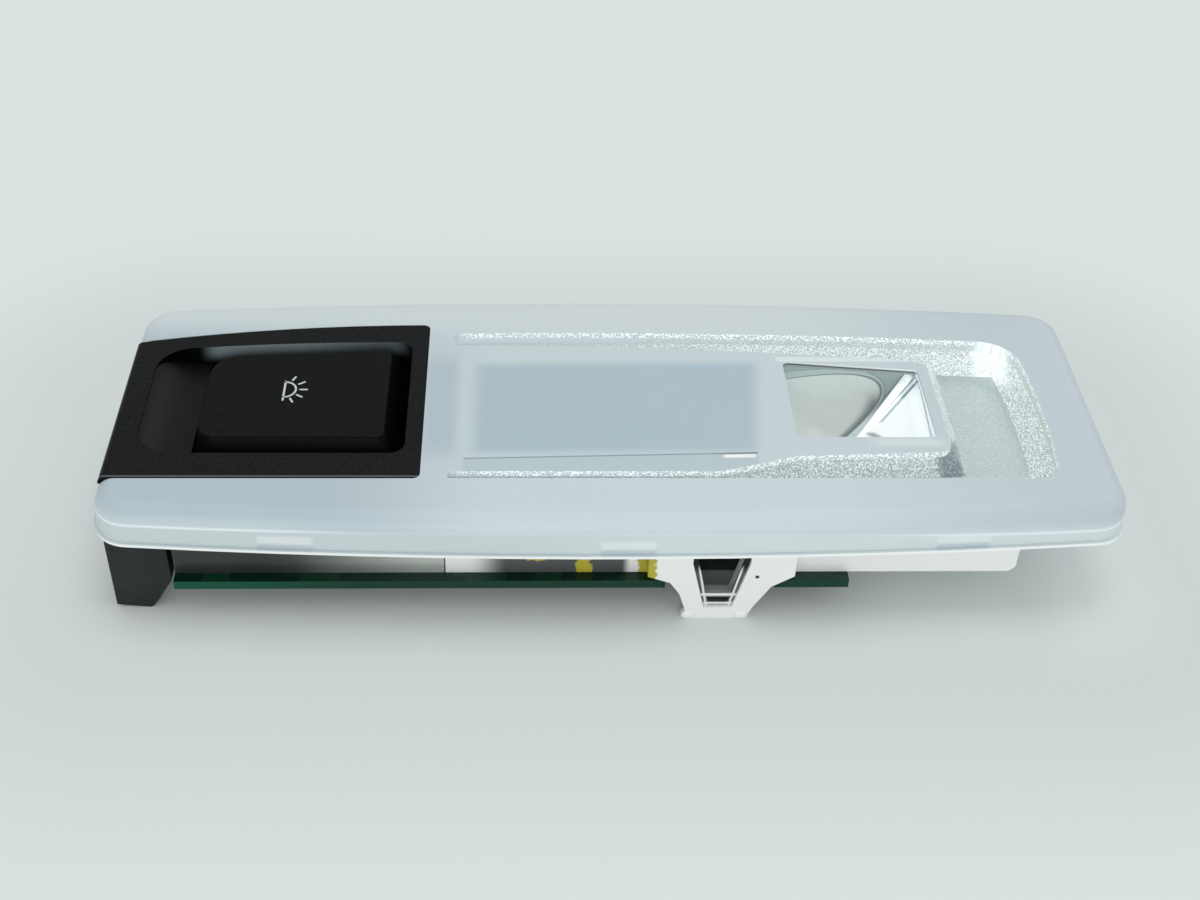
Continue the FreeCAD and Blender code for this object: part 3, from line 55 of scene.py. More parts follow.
class Wire:
    """One output socket of a finish's node tree, with the sums that are used on it."""

    def __init__(self, finish, socket):
        self.finish = finish
        self.socket = socket

    def sum(self, operation, first, second):
        return self.finish.node("Math", {"operation": operation}, {0: first, 1: second})

    def __add__(self, other):
        return self.sum("ADD", self, other)

    def __radd__(self, other):
        return self.sum("ADD", other, self)

    def __sub__(self, other):
        return self.sum("SUBTRACT", self, other)

    def __rsub__(self, other):
        return self.sum("SUBTRACT", other, self)

    def __mul__(self, other):
        return self.sum("MULTIPLY", self, other)

    def __rmul__(self, other):
        return self.sum("MULTIPLY", other, self)

    def __truediv__(self, other):
        return self.sum("DIVIDE", self, other)


# %% A finish: one material and the ways to fill it


class Finish:
    """A procedural material in millimetres of the part's own frame."""

    def __init__(self, name):
        self.material = bpy.data.materials.new(name)
        self.material.use_nodes = True
        self.tree = self.material.node_tree
        self.tree.nodes.clear()
        here = self.node("TexCoord", give="Object")
        self.place = self.node("VectorMath", {"operation": "SCALE"}, {0: here, "Scale": 1 / MM})
        parts = self.tree.nodes.new("ShaderNodeSeparateXYZ")
        self.tree.links.new(self.place.socket, parts.inputs[0])
        self.x, self.y, self.z = (Wire(self, socket) for socket in parts.outputs)

    def node(self, kind, settings=None, sockets=None, give=0):
        """Adds a node: its settings first, then its sockets' values or links; returns one output."""
        made = self.tree.nodes.new("ShaderNode" + kind)
        for name, value in (settings or {}).items():
            setattr(made, name, value)
        for name, value in (sockets or {}).items():
            if isinstance(value, Wire):
                self.tree.links.new(value.socket, made.inputs[name])
            else:
                made.inputs[name].default_value = value
        return Wire(self, made.outputs[give])

    def up(self):
        """How far the surface faces up: 1 on a top face, 0 on a wall, -1 underneath."""
        facing = self.tree.nodes.new("ShaderNodeSeparateXYZ")
        self.tree.links.new(self.node("TexCoord", give="Normal").socket, facing.inputs[0])
        return Wire(self, facing.outputs[2])

    def step(self, value, low, high):
        """0 below low, 1 above high, and a smooth rise between."""
        return self.node("MapRange", {"interpolation_type": "SMOOTHSTEP"},
                         {"Value": value, "From Min": low, "From Max": high})

    def band(self, value, low, high, soft):
        """1 between low and high, with soft edges."""
        return self.step(value, low - soft, low + soft) * (1 - self.step(value, high - soft, high + soft))

    def noise(self, size, detail=2.0, rough=0.5, place=None):
        """Cloudy noise from 0 to 1 whose lumps are about size millimetres across."""
        return self.node("TexNoise", None, {"Vector": place or self.place, "Scale": 1 / size,
                                            "Detail": detail, "Roughness": rough})

    def cells(self, size, feature="F1", place=None, jitter=1.0):
        """Distance to the nearest of many scattered points, size millimetres apart."""
        return self.node("TexVoronoi", {"feature": feature},
                         {"Vector": place or self.place, "Scale": 1 / size, "Randomness": jitter})

    def blend(self, share, first, second):
        """The first colour where share is 0 and the second where it is 1."""
        return self.node("Mix", {"data_type": "RGBA"}, {0: share, 6: first, 7: second}, give=2)

    def bump(self, height, deep, strength=1.0, under=None):
        """A normal from a height of 0 to 1 that stands for deep millimetres."""
        sockets = {"Height": height, "Distance": deep * MM, "Strength": strength}
        if under is not None:
            sockets["Normal"] = under
        return self.node("Bump", None, sockets)

    def principled(self, **sockets):
        """The main shader; an underscore in a name stands for a space."""
        return self.node("BsdfPrincipled", None, {k.replace("_", " "): v for k, v in sockets.items()})

    def show(self, shader):
        """Makes shader the surface and returns the material."""
        out = self.tree.nodes.new("ShaderNodeOutputMaterial")
        self.tree.links.new(shader.socket, out.inputs["Surface"])
        return self.material


def tint(red, green, blue):
    """A colour as it is read off a screen, 0 to 255, turned into the linear light that shaders use."""
    share = np.array([red, green, blue]) / 255
    light = np.where(share <= 0.04045, share / 12.92, ((share + 0.055) / 1.055) ** 2.4)
    return (*light.tolist(), 1.0)


def dress(node, material):
    """Puts a material on a CAD solid."""
    slots = solids[node].data.materials
    slots.clear()
    slots.append(material)


print("the finish tools are ready")

# %% [markdown]
# ## Camera
#
# The camera stands in front of the lamp and looks down at it, as it did for the photograph. Its
# place and turn came from fitting the part's corners to the picture. A long lens keeps the far
# side nearly as large as the near side.

# %% Camera
CAMERA_PLACE = (-15.558, -214.13, 190.77)
CAMERA_PITCH = 0.6981
CAMERA_YAW = 0.0643
CAMERA_ROLL = -0.0425
CAMERA_LENS = 48.857


def aim(pitch, yaw, roll):
    """The camera's right, up and back directions: ahead is turned by yaw, dipped by pitch, then rolled."""
    ahead = np.array([math.sin(yaw) * math.cos(pitch), math.cos(yaw) * math.cos(pitch), -math.sin(pitch)])
    level = np.array([math.cos(yaw), -math.sin(yaw), 0.0])
    down = np.cross(ahead, level)
    right = math.cos(roll) * level + math.sin(roll) * down
    below = -math.sin(roll) * level + math.cos(roll) * down
    return np.column_stack([right, -below, -ahead])


camera = bpy.data.objects.new("camera", bpy.data.cameras.new("camera"))
bpy.context.scene.collection.objects.link(camera)
turned = np.eye(4)
turned[:3, :3] = aim(CAMERA_PITCH, CAMERA_YAW, CAMERA_ROLL)
turned[:3, 3] = np.array(CAMERA_PLACE) * MM
camera.matrix_world = Matrix(turned.tolist())
camera.data.sensor_width = 36.0
camera.data.lens = CAMERA_LENS
camera.data.clip_start = 0.01
bpy.context.scene.camera = camera
print("camera at", CAMERA_PLACE, "mm")

# %% [markdown]
# ## Floor and light
#
# The lamp was photographed on a sheet of pale paper under broad soft light. The floor takes the
# object's shadow. Away from the object its colour is the paper's own, which the Light Path node
# gives to what the camera, mirrors and clear plastic see, so that no lamp has to be strong
# enough to whiten it. Close to the object that plain colour turns to a darker paper tone, which
# is painted shade.

# %% Floor
PAPER = tint(219, 227, 226)
PAPER_NEAR_SHADED = tint(202, 211, 209)
FLOOR_HALF = 2.5


def flat_sheet(name, half, height):
    """A square sheet: corners at plus and minus half in x and y, at one height."""
    corners = np.array([[-1, -1], [1, -1], [1, 1], [-1, 1]]) * half
    mesh = bpy.data.meshes.new(name)
    mesh.from_pydata(np.column_stack([corners, np.full(4, height)]).tolist(), [], [(0, 1, 2, 3)])
    sheet = bpy.data.objects.new(name, mesh)
    bpy.context.scene.collection.objects.link(sheet)
    return sheet


floor = flat_sheet("floor", FLOOR_HALF, 0.0)
paper = Finish("paper")
past_end = paper.node("Math", {"operation": "MAXIMUM"}, {0: paper.node(
    "Math", {"operation": "ABSOLUTE"}, {0: paper.x}) - 76.0, 1: 0.0})
past_side = paper.node("Math", {"operation": "MAXIMUM"}, {0: paper.node(
    "Math", {"operation": "ABSOLUTE"}, {0: paper.y}) - 24.0, 1: 0.0})
away = paper.node("Math", {"operation": "SQRT"}, {0: past_end * past_end + past_side * past_side}) - 6.0
far = paper.step(away, -5.0, 17.0)
# Painted shade: the plain paper is darker close to the object.
paper_with_shade = paper.blend(paper.step(away, 4.0, 66.0), PAPER_NEAR_SHADED, PAPER)
seen = paper.node("LightPath", give="Is Camera Ray")
mirrored = paper.node("LightPath", give="Is Glossy Ray")
through = paper.node("LightPath", give="Is Transmission Ray")
any_view = paper.node("Math", {"operation": "MAXIMUM"}, {0: paper.node(
    "Math", {"operation": "MAXIMUM"}, {0: seen, 1: mirrored}), 1: through})
lit_paper = paper.node("BsdfDiffuse", None, {"Color": PAPER})
plain_paper = paper.node("Emission", None, {"Color": paper_with_shade, "Strength": 1.0})
floor.data.materials.append(paper.show(paper.node(
    "MixShader", None, {0: far * any_view, 1: lit_paper, 2: plain_paper})))
print("floor", 2 * FLOOR_HALF, "m square")

# %% Lamps and sky


def soft_lamp(name, place, target, size, watts, colour=(1.0, 1.0, 1.0)):
    """A square area lamp that faces a target point, all in metres."""
    lamp = bpy.data.objects.new(name, bpy.data.lights.new(name, "AREA"))
    lamp.data.size = size
    lamp.data.energy = watts
    lamp.data.color = colour
    back = np.array(place) - np.array(target)
    back = back / np.linalg.norm(back)
    side = np.cross((0.0, 1.0, 0.0) if abs(back[1]) < 0.9 else (1.0, 0.0, 0.0), back)
    side = side / np.linalg.norm(side)
    turn = np.eye(4)
    turn[:3, :3] = np.column_stack([side, np.cross(back, side), back])
    turn[:3, 3] = place
    lamp.matrix_world = Matrix(turn.tolist())
    bpy.context.scene.collection.objects.link(lamp)
    return lamp


soft_lamp("lamp_over", (0.05, 0.10, 0.95), (0, 0, 0), 0.5, 1.3)
soft_lamp("lamp_rear_right", (0.55, 0.65, 0.70), (0.02, 0, 0), 0.30, 1.4)
soft_lamp("lamp_front", (-0.10, -1.00, 0.36), (0, 0, 0), 0.55, 3.0)
world = bpy.data.worlds.new("room")
world.use_nodes = True
bpy.context.scene.world = world
sky = world.node_tree.nodes["Background"]
sky.inputs["Color"].default_value = (1.0, 1.0, 1.0, 1.0)
sky.inputs["Strength"].default_value = 0.70
bpy.context.scene.view_settings.view_transform = "Standard"
print("3 lamps and an even sky")

# %% [markdown]
# ## Milky lens
#
# The frame of the lamp is moulded in a milky plastic that lets light through from behind. In
# daylight it looks like pale blue-white porcelain. Parts that lie close behind it show as faint
# tints: the latches behind the front wall and the diffuser under the middle. A clear plastic
# would show them in full, and a painted one not at all, so here they are soft tints laid over the
# plastic's colour. Light and shade are painted on as well: painted shade towards the rear and the
# ends, a paler lit skirt, painted highlights on its crest and lip, and painted glitter, reflections
# and a glow on the walls of the openings.

# %% Milky lens finish
MILK = tint(199, 211, 217)
MILK_REAR_SHADED = tint(201, 212, 214)
MILK_RIGHT_SHADED = tint(181, 195, 201)
MILK_LEFT_SHADED = tint(168, 185, 192)
MILK_SKIRT_LIT = tint(207, 219, 220)
MILK_SKIRT_LIT_LEFT = tint(198, 210, 212)
MILK_BRIDGE = tint(166, 183, 192)
MILK_FIELD = tint(190, 204, 206)
MILK_OVER_DIFFUSER = tint(170, 190, 199)
SEAM_SLOPE, SEAM_AT = 0.031, -14.12
LATCH_PLACES = (-51.8, 1.4, 54.5)
LATCH_HALF = 4.3
GLINT = tint(228, 236, 236)


def milky_lens():
    milk = Finish("milky_lens")
    cloud = milk.noise(45.0, 3.0, 0.55)
    # Painted shade: the plastic is greyer towards the rear and darker towards the right and left ends.
    colour = milk.blend(milk.step(milk.y, -6.0, 26.0), MILK, MILK_REAR_SHADED)
    colour = milk.blend(milk.step(milk.x, 25.0, 75.0) * 0.8, colour, MILK_RIGHT_SHADED)
    left = (1 - milk.step(milk.x, -48.0, -16.0)) * (1 - milk.step(milk.y, 16.0, 24.0))
    colour = milk.blend(left * 0.75, colour, MILK_LEFT_SHADED)
    # Painted light: the skirt below the crest line is paler as a lit face, the rounded edge above it is lightened
    # towards the ends, and the crest carries a painted highlight.
    crest_z = 18.9 - milk.step(milk.x, 10.0, 75.0) * 1.7 - (1 - milk.step(milk.x, -75.0, -20.0)) * 0.5
    above = milk.z - crest_z
    skirt = 1 - milk.step(above, -0.3, 0.3)
    edge = milk.blend(1 - milk.step(milk.x, -30.0, 20.0), MILK_SKIRT_LIT, MILK_SKIRT_LIT_LEFT)
    colour = milk.blend(skirt, colour, edge)
    ends = 1 - milk.band(milk.x, -46.0, 46.0, 14.0) * 0.85
    rolled_highlight = (1 - milk.step(above, 0.0, 2.6)) * (1 - skirt) * (1 - milk.step(milk.up(), 0.97, 0.999))
    colour = milk.blend(rolled_highlight * (0.02 + ends * 0.45), colour, tint(222, 232, 236))
    colour = milk.blend(milk.band(above, -0.15, 0.3, 0.2) * ends * 0.8, colour, tint(236, 245, 246))
    lip_highlight = milk.band(milk.z, 14.4, 15.0, 0.12) * (1 - milk.step(milk.y, -29.0, -20.0))
    top = milk.step(milk.z, 21.1, 21.4)
    around = milk.band(milk.x, -31.0, 56.0, 2.0) * milk.band(milk.y, -19.0, 17.0, 1.5) * top
    colour = milk.blend(around * 0.5, colour, MILK_FIELD)
    bridge = milk.band(milk.x, -31.4, -26.0, 1.3) * milk.band(milk.y, -14.0, 12.0, 4.0) * top
    colour = milk.blend(bridge * 0.65, colour, MILK_BRIDGE)
    # Painted highlights: pale bands along the front and rear edges of the spot window.
    front_of_spot = milk.band(milk.x, 42.5, 54.0, 2.5) * milk.band(milk.y, -11.6, -9.9, 1.1) * top
    behind_spot = milk.band(milk.x, 29.0, 54.0, 0.6) * milk.band(milk.y, 11.2, 12.5, 0.35) * top
    colour = milk.blend(front_of_spot * 0.45 + behind_spot * 0.6, colour, tint(230, 237, 236))
    tinted = (milk.step(milk.x, -24.6, -21.4) * (1 - milk.step(milk.x - milk.y * 0.1, 22.6, 25.8))
              * milk.band(milk.y - milk.x * 0.015, -13.2, 10.4, 1.4) * top)
    colour = milk.blend(tinted, colour, MILK_OVER_DIFFUSER)
    below = milk.y - (milk.x * SEAM_SLOPE + SEAM_AT)
    along = milk.band(milk.x, -24.6, 23.0, 0.3) * top
    colour = milk.blend(milk.band(below, -4.4, -0.1, 0.5) * along * 0.8, colour, tint(178, 196, 200))
    notch = milk.band(below, -1.15, -0.35, 0.12) * milk.band(milk.x, 17.4, 22.6, 0.3) * top
    colour = milk.blend(notch, colour, tint(240, 244, 240))
    seam = milk.band(below, -0.22, 0.10, 0.10) * along * (0.6 + milk.step(milk.x, 14.0, 20.0) * 0.4)
    colour = milk.blend(seam, colour, tint(96, 114, 128))
    latch = 0.0
    for place in LATCH_PLACES:
        latch = milk.band(milk.x, place - LATCH_HALF, place + LATCH_HALF, 0.5) + latch
    front = 1 - milk.step(milk.y, -28.4, -27.4)
    colour = milk.blend(latch * front * milk.band(milk.z, 14.9, 16.0, 0.3) * 0.55, colour, tint(176, 190, 202))
    colour = milk.blend(latch * front * milk.band(milk.z, 16.2, 17.6, 0.35) * 0.6, colour, tint(230, 235, 236))
    colour = milk.blend(front * milk.band(milk.z, 15.15, 15.3, 0.06) * 0.4, colour, tint(150, 165, 170))
    # Painted highlight: a bright line along the lens's bottom lip.
    colour = milk.blend(lip_highlight * 0.85, colour, tint(250, 252, 252))
    # Painted light on the walls of the openings: a pale colour with painted glitter, a painted bright patch at the
    # right end, and a glow from the emission.
    inner = milk.band(milk.z, 19.2, 21.6, 0.1) * (1 - milk.step(milk.up(), 0.3, 0.7)) * milk.band(milk.x, -28.0, 74.0, 0.3)
    row = milk.step(milk.z, 20.2, 20.7)
    reveal = inner * milk.band(milk.y, -20.5, 20.5, 0.5)
    milky_end = (1 - milk.step(milk.x, -8.0, 26.0)) * (1 - row)
    glitter_highlight = milk.step(milk.noise(0.30, 1.0), 0.47, 0.6) * (0.35 + row * 0.65) * (1 - milky_end)
    glitter_highlight = glitter_highlight * milk.step(milk.x, -27.0, -23.5)
    bright_end_highlight = milk.band(milk.x - (milk.y - 16.0) * 0.4, 65.0, 71.5, 1.0) * milk.step(milk.y, 13.0, 15.0)
    folds = milk.step(milk.noise(0.9, 2.0, place=milk.node("VectorMath", {"operation": "MULTIPLY"}, {
        0: milk.place, 1: (1.6, 1.6, 0.2)})), 0.38, 0.6)
    glitter_highlight = glitter_highlight * (1 - bright_end_highlight) + bright_end_highlight * (0.45 + folds * 0.55)
    pale = milk.blend(milk.step(milk.x, -8.0, 26.0), tint(204, 214, 218), tint(190, 202, 202))
    colour = milk.blend(reveal, colour, milk.blend(glitter_highlight, pale, tint(253, 254, 254)))
    # Painted reflections on the spot window's walls: grey, dark and white lines, and a glow on the right wall.
    spot = inner * milk.band(milk.x, 28.0, 54.2, 0.2) * milk.band(milk.y, -10.5, 12.0, 0.2)
    right = milk.step(milk.x, 53.0, 53.25) * (1 - milk.step(milk.y, 10.6, 11.0))
    rim_painted_light = milk.blend(milk.step(milk.z, 21.12, 21.22), tint(152, 164, 164), tint(236, 241, 242))
    rim_painted_light = milk.blend(milk.band(milk.z, 20.8, 21.08, 0.06), rim_painted_light, tint(62, 74, 76))
    right_rim_painted_light = milk.blend(milk.band(milk.z, 19.7, 21.0, 0.1), tint(120, 134, 138), tint(244, 247, 248))
    colour = milk.blend(spot, colour, milk.blend(right, rim_painted_light, right_rim_painted_light))
    shine = reveal * (0.3 + milky_end * 0.22 + glitter_highlight * 0.7) * (1 - spot) + spot * right * 0.5
    glow = milk.blend(shine, (0.0, 0.0, 0.0, 1.0), GLINT)
    colour = milk.blend((cloud - 0.5) * 0.25, colour, tint(225, 232, 236))
    grain = milk.noise(0.25, 2.0)
    wave = milk.noise(14.0, 1.0)
    normal = milk.bump(grain * 0.06 + wave, 0.12, 0.35)
    return milk.show(milk.principled(
        Base_Color=colour, Roughness=0.42 + milk.noise(3.0) * 0.10, Normal=normal, IOR=1.5,
        Specular_IOR_Level=0.3,
        Emission_Color=glow, Emission_Strength=0.5,
        Subsurface_Weight=0.12, Subsurface_Radius=(1.0, 1.0, 1.0), Subsurface_Scale=1.2 * MM))


dress("lens_frame", milky_lens())
print("lens_frame: milky plastic")

# %% [markdown]
# ## Clear window
#
# A second, clear plastic fills a C-shaped band of the frame. It is a polished sheet, so nearly
# all that shows is what lies behind it, plus a reflection that grows at flat angles. A Fresnel
# mix of a see-through and a glossy shader gives just that, and it lets lamps light the tray.

# %% Clear window finish


def clear_plastic(name, index, dust):
    clear = Finish(name)
    ripple = clear.bump(clear.noise(9.0, 1.0), 0.05, 0.3)
    gloss = clear.principled(Base_Color=tint(236, 241, 242), Roughness=0.04 + clear.noise(2.0) * 0.03,
                             Normal=ripple, IOR=index)
    open_view = clear.node("BsdfTransparent", None, {"Color": (0.965, 0.975, 0.975, 1.0)})
    outside = 1 - clear.node("NewGeometry", give="Backfacing")
    mirror = clear.node("Fresnel", None, {"IOR": index, "Normal": ripple})
    top = clear.step(clear.up(), 0.5, 0.9)
    return clear.show(clear.node("MixShader", None, {0: (mirror + dust) * outside * top, 1: open_view, 2: gloss}))


dress("clear_window", clear_plastic("clear_window", 1.45, 0.012))
dress("light_pipe", clear_plastic("clear_pipe", 1.49, 0.03))
print("clear_window and light_pipe: clear plastic")

# %% [markdown]
# ## Black switch panel and key
#
# The panel and the key's top are spark-eroded: a fine even grain that scatters light. The key's
# flanks and the walls of its well are left polished. How far a face looks up tells one from the
# other, and fine noise makes the grain.

# %% Switch panel and key finish
BLACK_GRAIN = tint(3, 7, 9)
BLACK_POLISHED = tint(5, 6, 7)
BLACK_DISH = tint(12, 15, 16)
PANEL_FRONT_EDGE = -19.7


def black_panel():
    black = Finish("black_panel")
    grain = black.noise(0.28, 3.0, 0.6)
    speck = black.step(black.noise(0.4, 2.0), 0.52, 0.72)
    flat = black.step(black.up(), 0.55, 0.9)
    level = black.step(black.z, 20.9, 21.3)
    colour = black.blend(speck * 0.5, BLACK_GRAIN, tint(40, 44, 45))
    colour = black.blend(level, BLACK_DISH, colour)
    colour = black.blend(flat, BLACK_POLISHED, colour)
    # Painted reflection: a pale sheen on the rear wall of the well.
    wall = (1 - flat) * black.band(black.y, 12.0, 17.5, 1.2) * black.band(black.x, -69.0, -36.0, 2.0)
    sheen = wall * black.step(black.z, 18.0, 20.4) * (1 - black.step(black.x, -56.0, -38.0) * 0.5)
    colour = black.blend(sheen, colour, tint(126, 141, 146))
    # Painted highlight: a thin light line along the panel's front edge.
    rim_painted_light = black.band(black.y, PANEL_FRONT_EDGE + 0.28, PANEL_FRONT_EDGE + 0.62, 0.08) * level
    colour = black.blend(rim_painted_light * 0.8, colour, tint(98, 104, 107))
    return black.show(black.principled(
        Base_Color=colour, Roughness=0.12 + flat * 0.3 + flat * level * 0.1, IOR=1.5, Specular_IOR_Level=0.12,
        Normal=black.bump(grain * flat, 0.05, 0.5)))


def black_key():
    black = Finish("black_key")
    grain = black.noise(0.26, 3.0, 0.6)
    flat = black.step(black.up(), 0.86, 0.98)
    colour = black.blend(black.step(black.noise(0.45, 2.0), 0.5, 0.8), tint(17, 20, 19), tint(27, 30, 29))
    colour = black.blend(flat, BLACK_POLISHED, colour)
    # Painted highlight: a light line along the rounded front top edge of the key.
    rounded_highlight = black.band(black.up(), 0.88, 0.96, 0.03) * (1 - black.step(black.y, -11.0, -9.0))
    colour = black.blend(rounded_highlight * 0.8, colour, tint(62, 66, 66))
    return black.show(black.principled(
        Base_Color=colour, Roughness=0.45 + flat * 0.1, IOR=1.5, Specular_IOR_Level=0.05,
        Normal=black.bump(grain * flat, 0.05, 0.5)))


dress("switch_bezel", black_panel())
dress("press_key", black_key())
print("switch_bezel and press_key: grained and polished black")

# %% [markdown]
# ## Silver reflectors
#
# Three parts carry the same thin metal coating, and differ in what lies under it. The tray has a
# hammered pebble texture, stronger on its sloping walls than on its floor. The spot reflector is
# polished. The housing is satin. Each finish has its own bump and roughness. On the tray and the
# spot reflector the reflections are painted into the colour as pale and dark marks, with painted
# sparkle and painted shade, and a glow keeps the bright ones bright.

# %% Silver finishes
TRAY_FLOOR = 16.0
TRAY_WALL = tint(210, 220, 220)
TRAY_PIT_SHADE = tint(164, 177, 177)
TRAY_MILKY = tint(208, 219, 220)
PLATE_Z = 19.3
VIEW_X, VIEW_Y = 0.336, 1.26
RIDGE_X, RIDGE_Y, RIDGE_DX, RIDGE_DY = 40.7, -6.4, 0.552, 0.834
FACET_X, FACET_Y, FACET_DX, FACET_DY = 45.9, -2.4, 0.596, 0.803
ARCH_X, ARCH_Y = 38.0, 2.0


def pebble_tray():
    silver = Finish("pebble_silver")
    grit = silver.noise(0.30, 1.0)
    # Painted highlights and shade on the walls: white sparkles, and darker pits.
    spark_highlight = silver.step(grit, 0.50, 0.62)
    pit_shade = 1 - silver.step(grit, 0.34, 0.46)
    low = 1 - silver.step(silver.z, TRAY_FLOOR + 0.2, TRAY_FLOOR + 0.7)
    floor_share = silver.step(silver.up(), 0.9, 0.98) * low
    walls = silver.blend(pit_shade * 0.8, silver.blend(spark_highlight, TRAY_WALL, tint(254, 255, 255)), TRAY_PIT_SHADE)
    floor_colour = silver.blend(silver.step(silver.noise(0.30, 2.0), 0.3, 0.7), tint(180, 193, 192), tint(202, 213, 211))
    milky_end = 1 - silver.step(silver.x, -8.0, 26.0)
    walls = silver.blend(milky_end * 0.9, walls, TRAY_MILKY)
    colour = silver.blend(floor_share, walls, floor_colour)
    drop = PLATE_Z - silver.z
    u = silver.x - drop * VIEW_X
    v = silver.y - drop * VIEW_Y
    # Painted reflection: a bright streaky patch in the rear-right corner of the walls.
    corner = silver.band(u - (v - 14.0) * 0.1, 64.6, 70.4, 1.0) * silver.step(v, 6.0, 9.0) * (1 - floor_share)
    streaks = silver.noise(1.0, 2.0, place=silver.node("VectorMath", {"operation": "MULTIPLY"}, {
        0: silver.place, 1: (2.2, 2.2, 0.2)}))
    corner = corner * (0.4 + silver.step(streaks, 0.38, 0.6) * 0.6)
    colour = silver.blend(corner, colour, tint(254, 255, 254))
    rear = silver.step(v, 5.0, 10.0)
    # Painted shade at the pedestal's front-right corner.
    shade = silver.band(u - (v + 12.0) * 0.05, 53.0, 57.2, 0.9) * silver.band(v, -20.0, -8.0, 1.5) * (1 - floor_share)
    colour = silver.blend(shade * (1 - spark_highlight * 0.4) * 0.85, colour, tint(116, 134, 141))
    # The walls glow through the emission, more at the rear and on the sparkles, standing in for light.
    glow = silver.blend((1 - floor_share) * (1 - shade) * (0.3 + spark_highlight * 0.7 + rear * 0.35) * (1 - milky_end * 0.45) + corner * 0.8, (0.0, 0.0, 0.0, 1.0), GLINT)
    return silver.show(silver.principled(
        Base_Color=colour, Metallic=0.35 - corner * 0.3, Roughness=0.30 + floor_share * 0.15,
        Emission_Color=glow, Emission_Strength=0.28,
        Normal=silver.bump(grit * (1 - floor_share * 0.7), 0.14, 0.8)))


def polished_cup():
    """Painted reflections and shade, which also glow: the marks are placed where they show in the window's plane, each
    point moved up along the line of sight to it.
    """
    silver = Finish("polished_silver")
    drop = PLATE_Z - silver.z
    u = silver.x - drop * VIEW_X
    v = silver.y - drop * VIEW_Y
    across = (u - RIDGE_X) * RIDGE_DY - (v - RIDGE_Y) * RIDGE_DX
    beyond = (u - FACET_X) * FACET_DY - (v - FACET_Y) * FACET_DX
    a = u - ARCH_X
    b = v - ARCH_Y
    arch = a * a * 0.00446 - a * b * 0.01455 + b * b * 0.01222 + a * 0.10346 + b * 0.01608
    # Painted reflection and shade: a calm grey, a dark arch with painted shade inside it, pale and dark lines and a
    # white facet.
    calm = silver.blend(silver.step(v, -7.0, 9.0), tint(186, 190, 187), tint(192, 199, 196))
    calm = silver.blend(silver.step(arch, 0.56, 0.95) * (1 - silver.step(v, 1.0, 7.0)), calm, tint(92, 104, 103))
    outer = silver.blend(silver.step(arch + (u - 36.0) * 0.03, 1.42, 1.5), tint(160, 174, 176), tint(140, 153, 153))
    outer = silver.blend(silver.band(arch + (u - 36.0) * 0.03, 1.43, 1.48, 0.03) * 0.7, outer, tint(104, 118, 121))
    outer = silver.blend(silver.step(v, -3.0, 5.0), tint(184, 194, 196), outer)
    colour = silver.blend(silver.step(arch, 0.99, 1.03), calm, outer)
    colour = silver.blend(silver.band(arch, 0.99, 1.04, 0.03) * 0.85, colour, tint(58, 68, 70))
    colour = silver.blend(silver.band(across, -0.42, -0.05, 0.1) * silver.step(v, -4.0, 2.0) * 0.7, colour,
                          tint(96, 108, 111))
    lines = silver.blend(silver.band(beyond, -0.95, -0.5, 0.1), tint(116, 132, 138), tint(216, 226, 228))
    lines = silver.blend(silver.step(v, -4.4, -2.2), tint(226, 232, 234), lines)
    colour = silver.blend(silver.step(across, 0.3, 0.4), colour, lines)
    facet = silver.step(beyond + (1 - silver.step(v, -5.5, -2.5)) * 1.6, -0.08, 0.08)
    colour = silver.blend(facet, colour, tint(223, 227, 228))
    colour = silver.blend(silver.band(u - (v + 6.0) * 0.047, 53.05, 53.3, 0.1) * 0.8, colour, tint(122, 137, 142))
    blob = silver.band(u + v * 0.9, 36.9, 38.7, 0.7) * silver.band(v, -7.5, -5.6, 0.5)
    colour = silver.blend(blob * 0.75, colour, tint(70, 90, 102))
    return silver.show(silver.principled(
        Base_Color=colour, Metallic=0.10, Roughness=0.18 + silver.noise(4.0) * 0.05 + facet * 0.4,
        Emission_Color=colour, Emission_Strength=0.42,
        Normal=silver.bump(silver.noise(16.0, 1.0), 0.2, 0.3)))


dress("reflector_tray", pebble_tray())
dress("spot_reflector", polished_cup())
print("reflector_tray and spot_reflector: metallised")

# %% [markdown]
# ## Housing walls
#
# The housing is coated with the same metal, masked by a jig. Where the jig touched, the coating
# stops in a ragged edge and the yellowish plastic shows. A dark band on the housing's front wall
# is a painted reflection of the shade below the lamp, and the wall beside the switch goes from
# black to silver along its length, also a painted reflection. The inside seen through the tower's
# window is painted shade.

# %% Housing finishes
BARE_PLASTIC = tint(176, 166, 48)
DARK_REFLECTION = tint(62, 64, 66)
COATING = tint(240, 241, 240)
PIN_MARK_X, PIN_MARK_Z = 22.3, 9.2


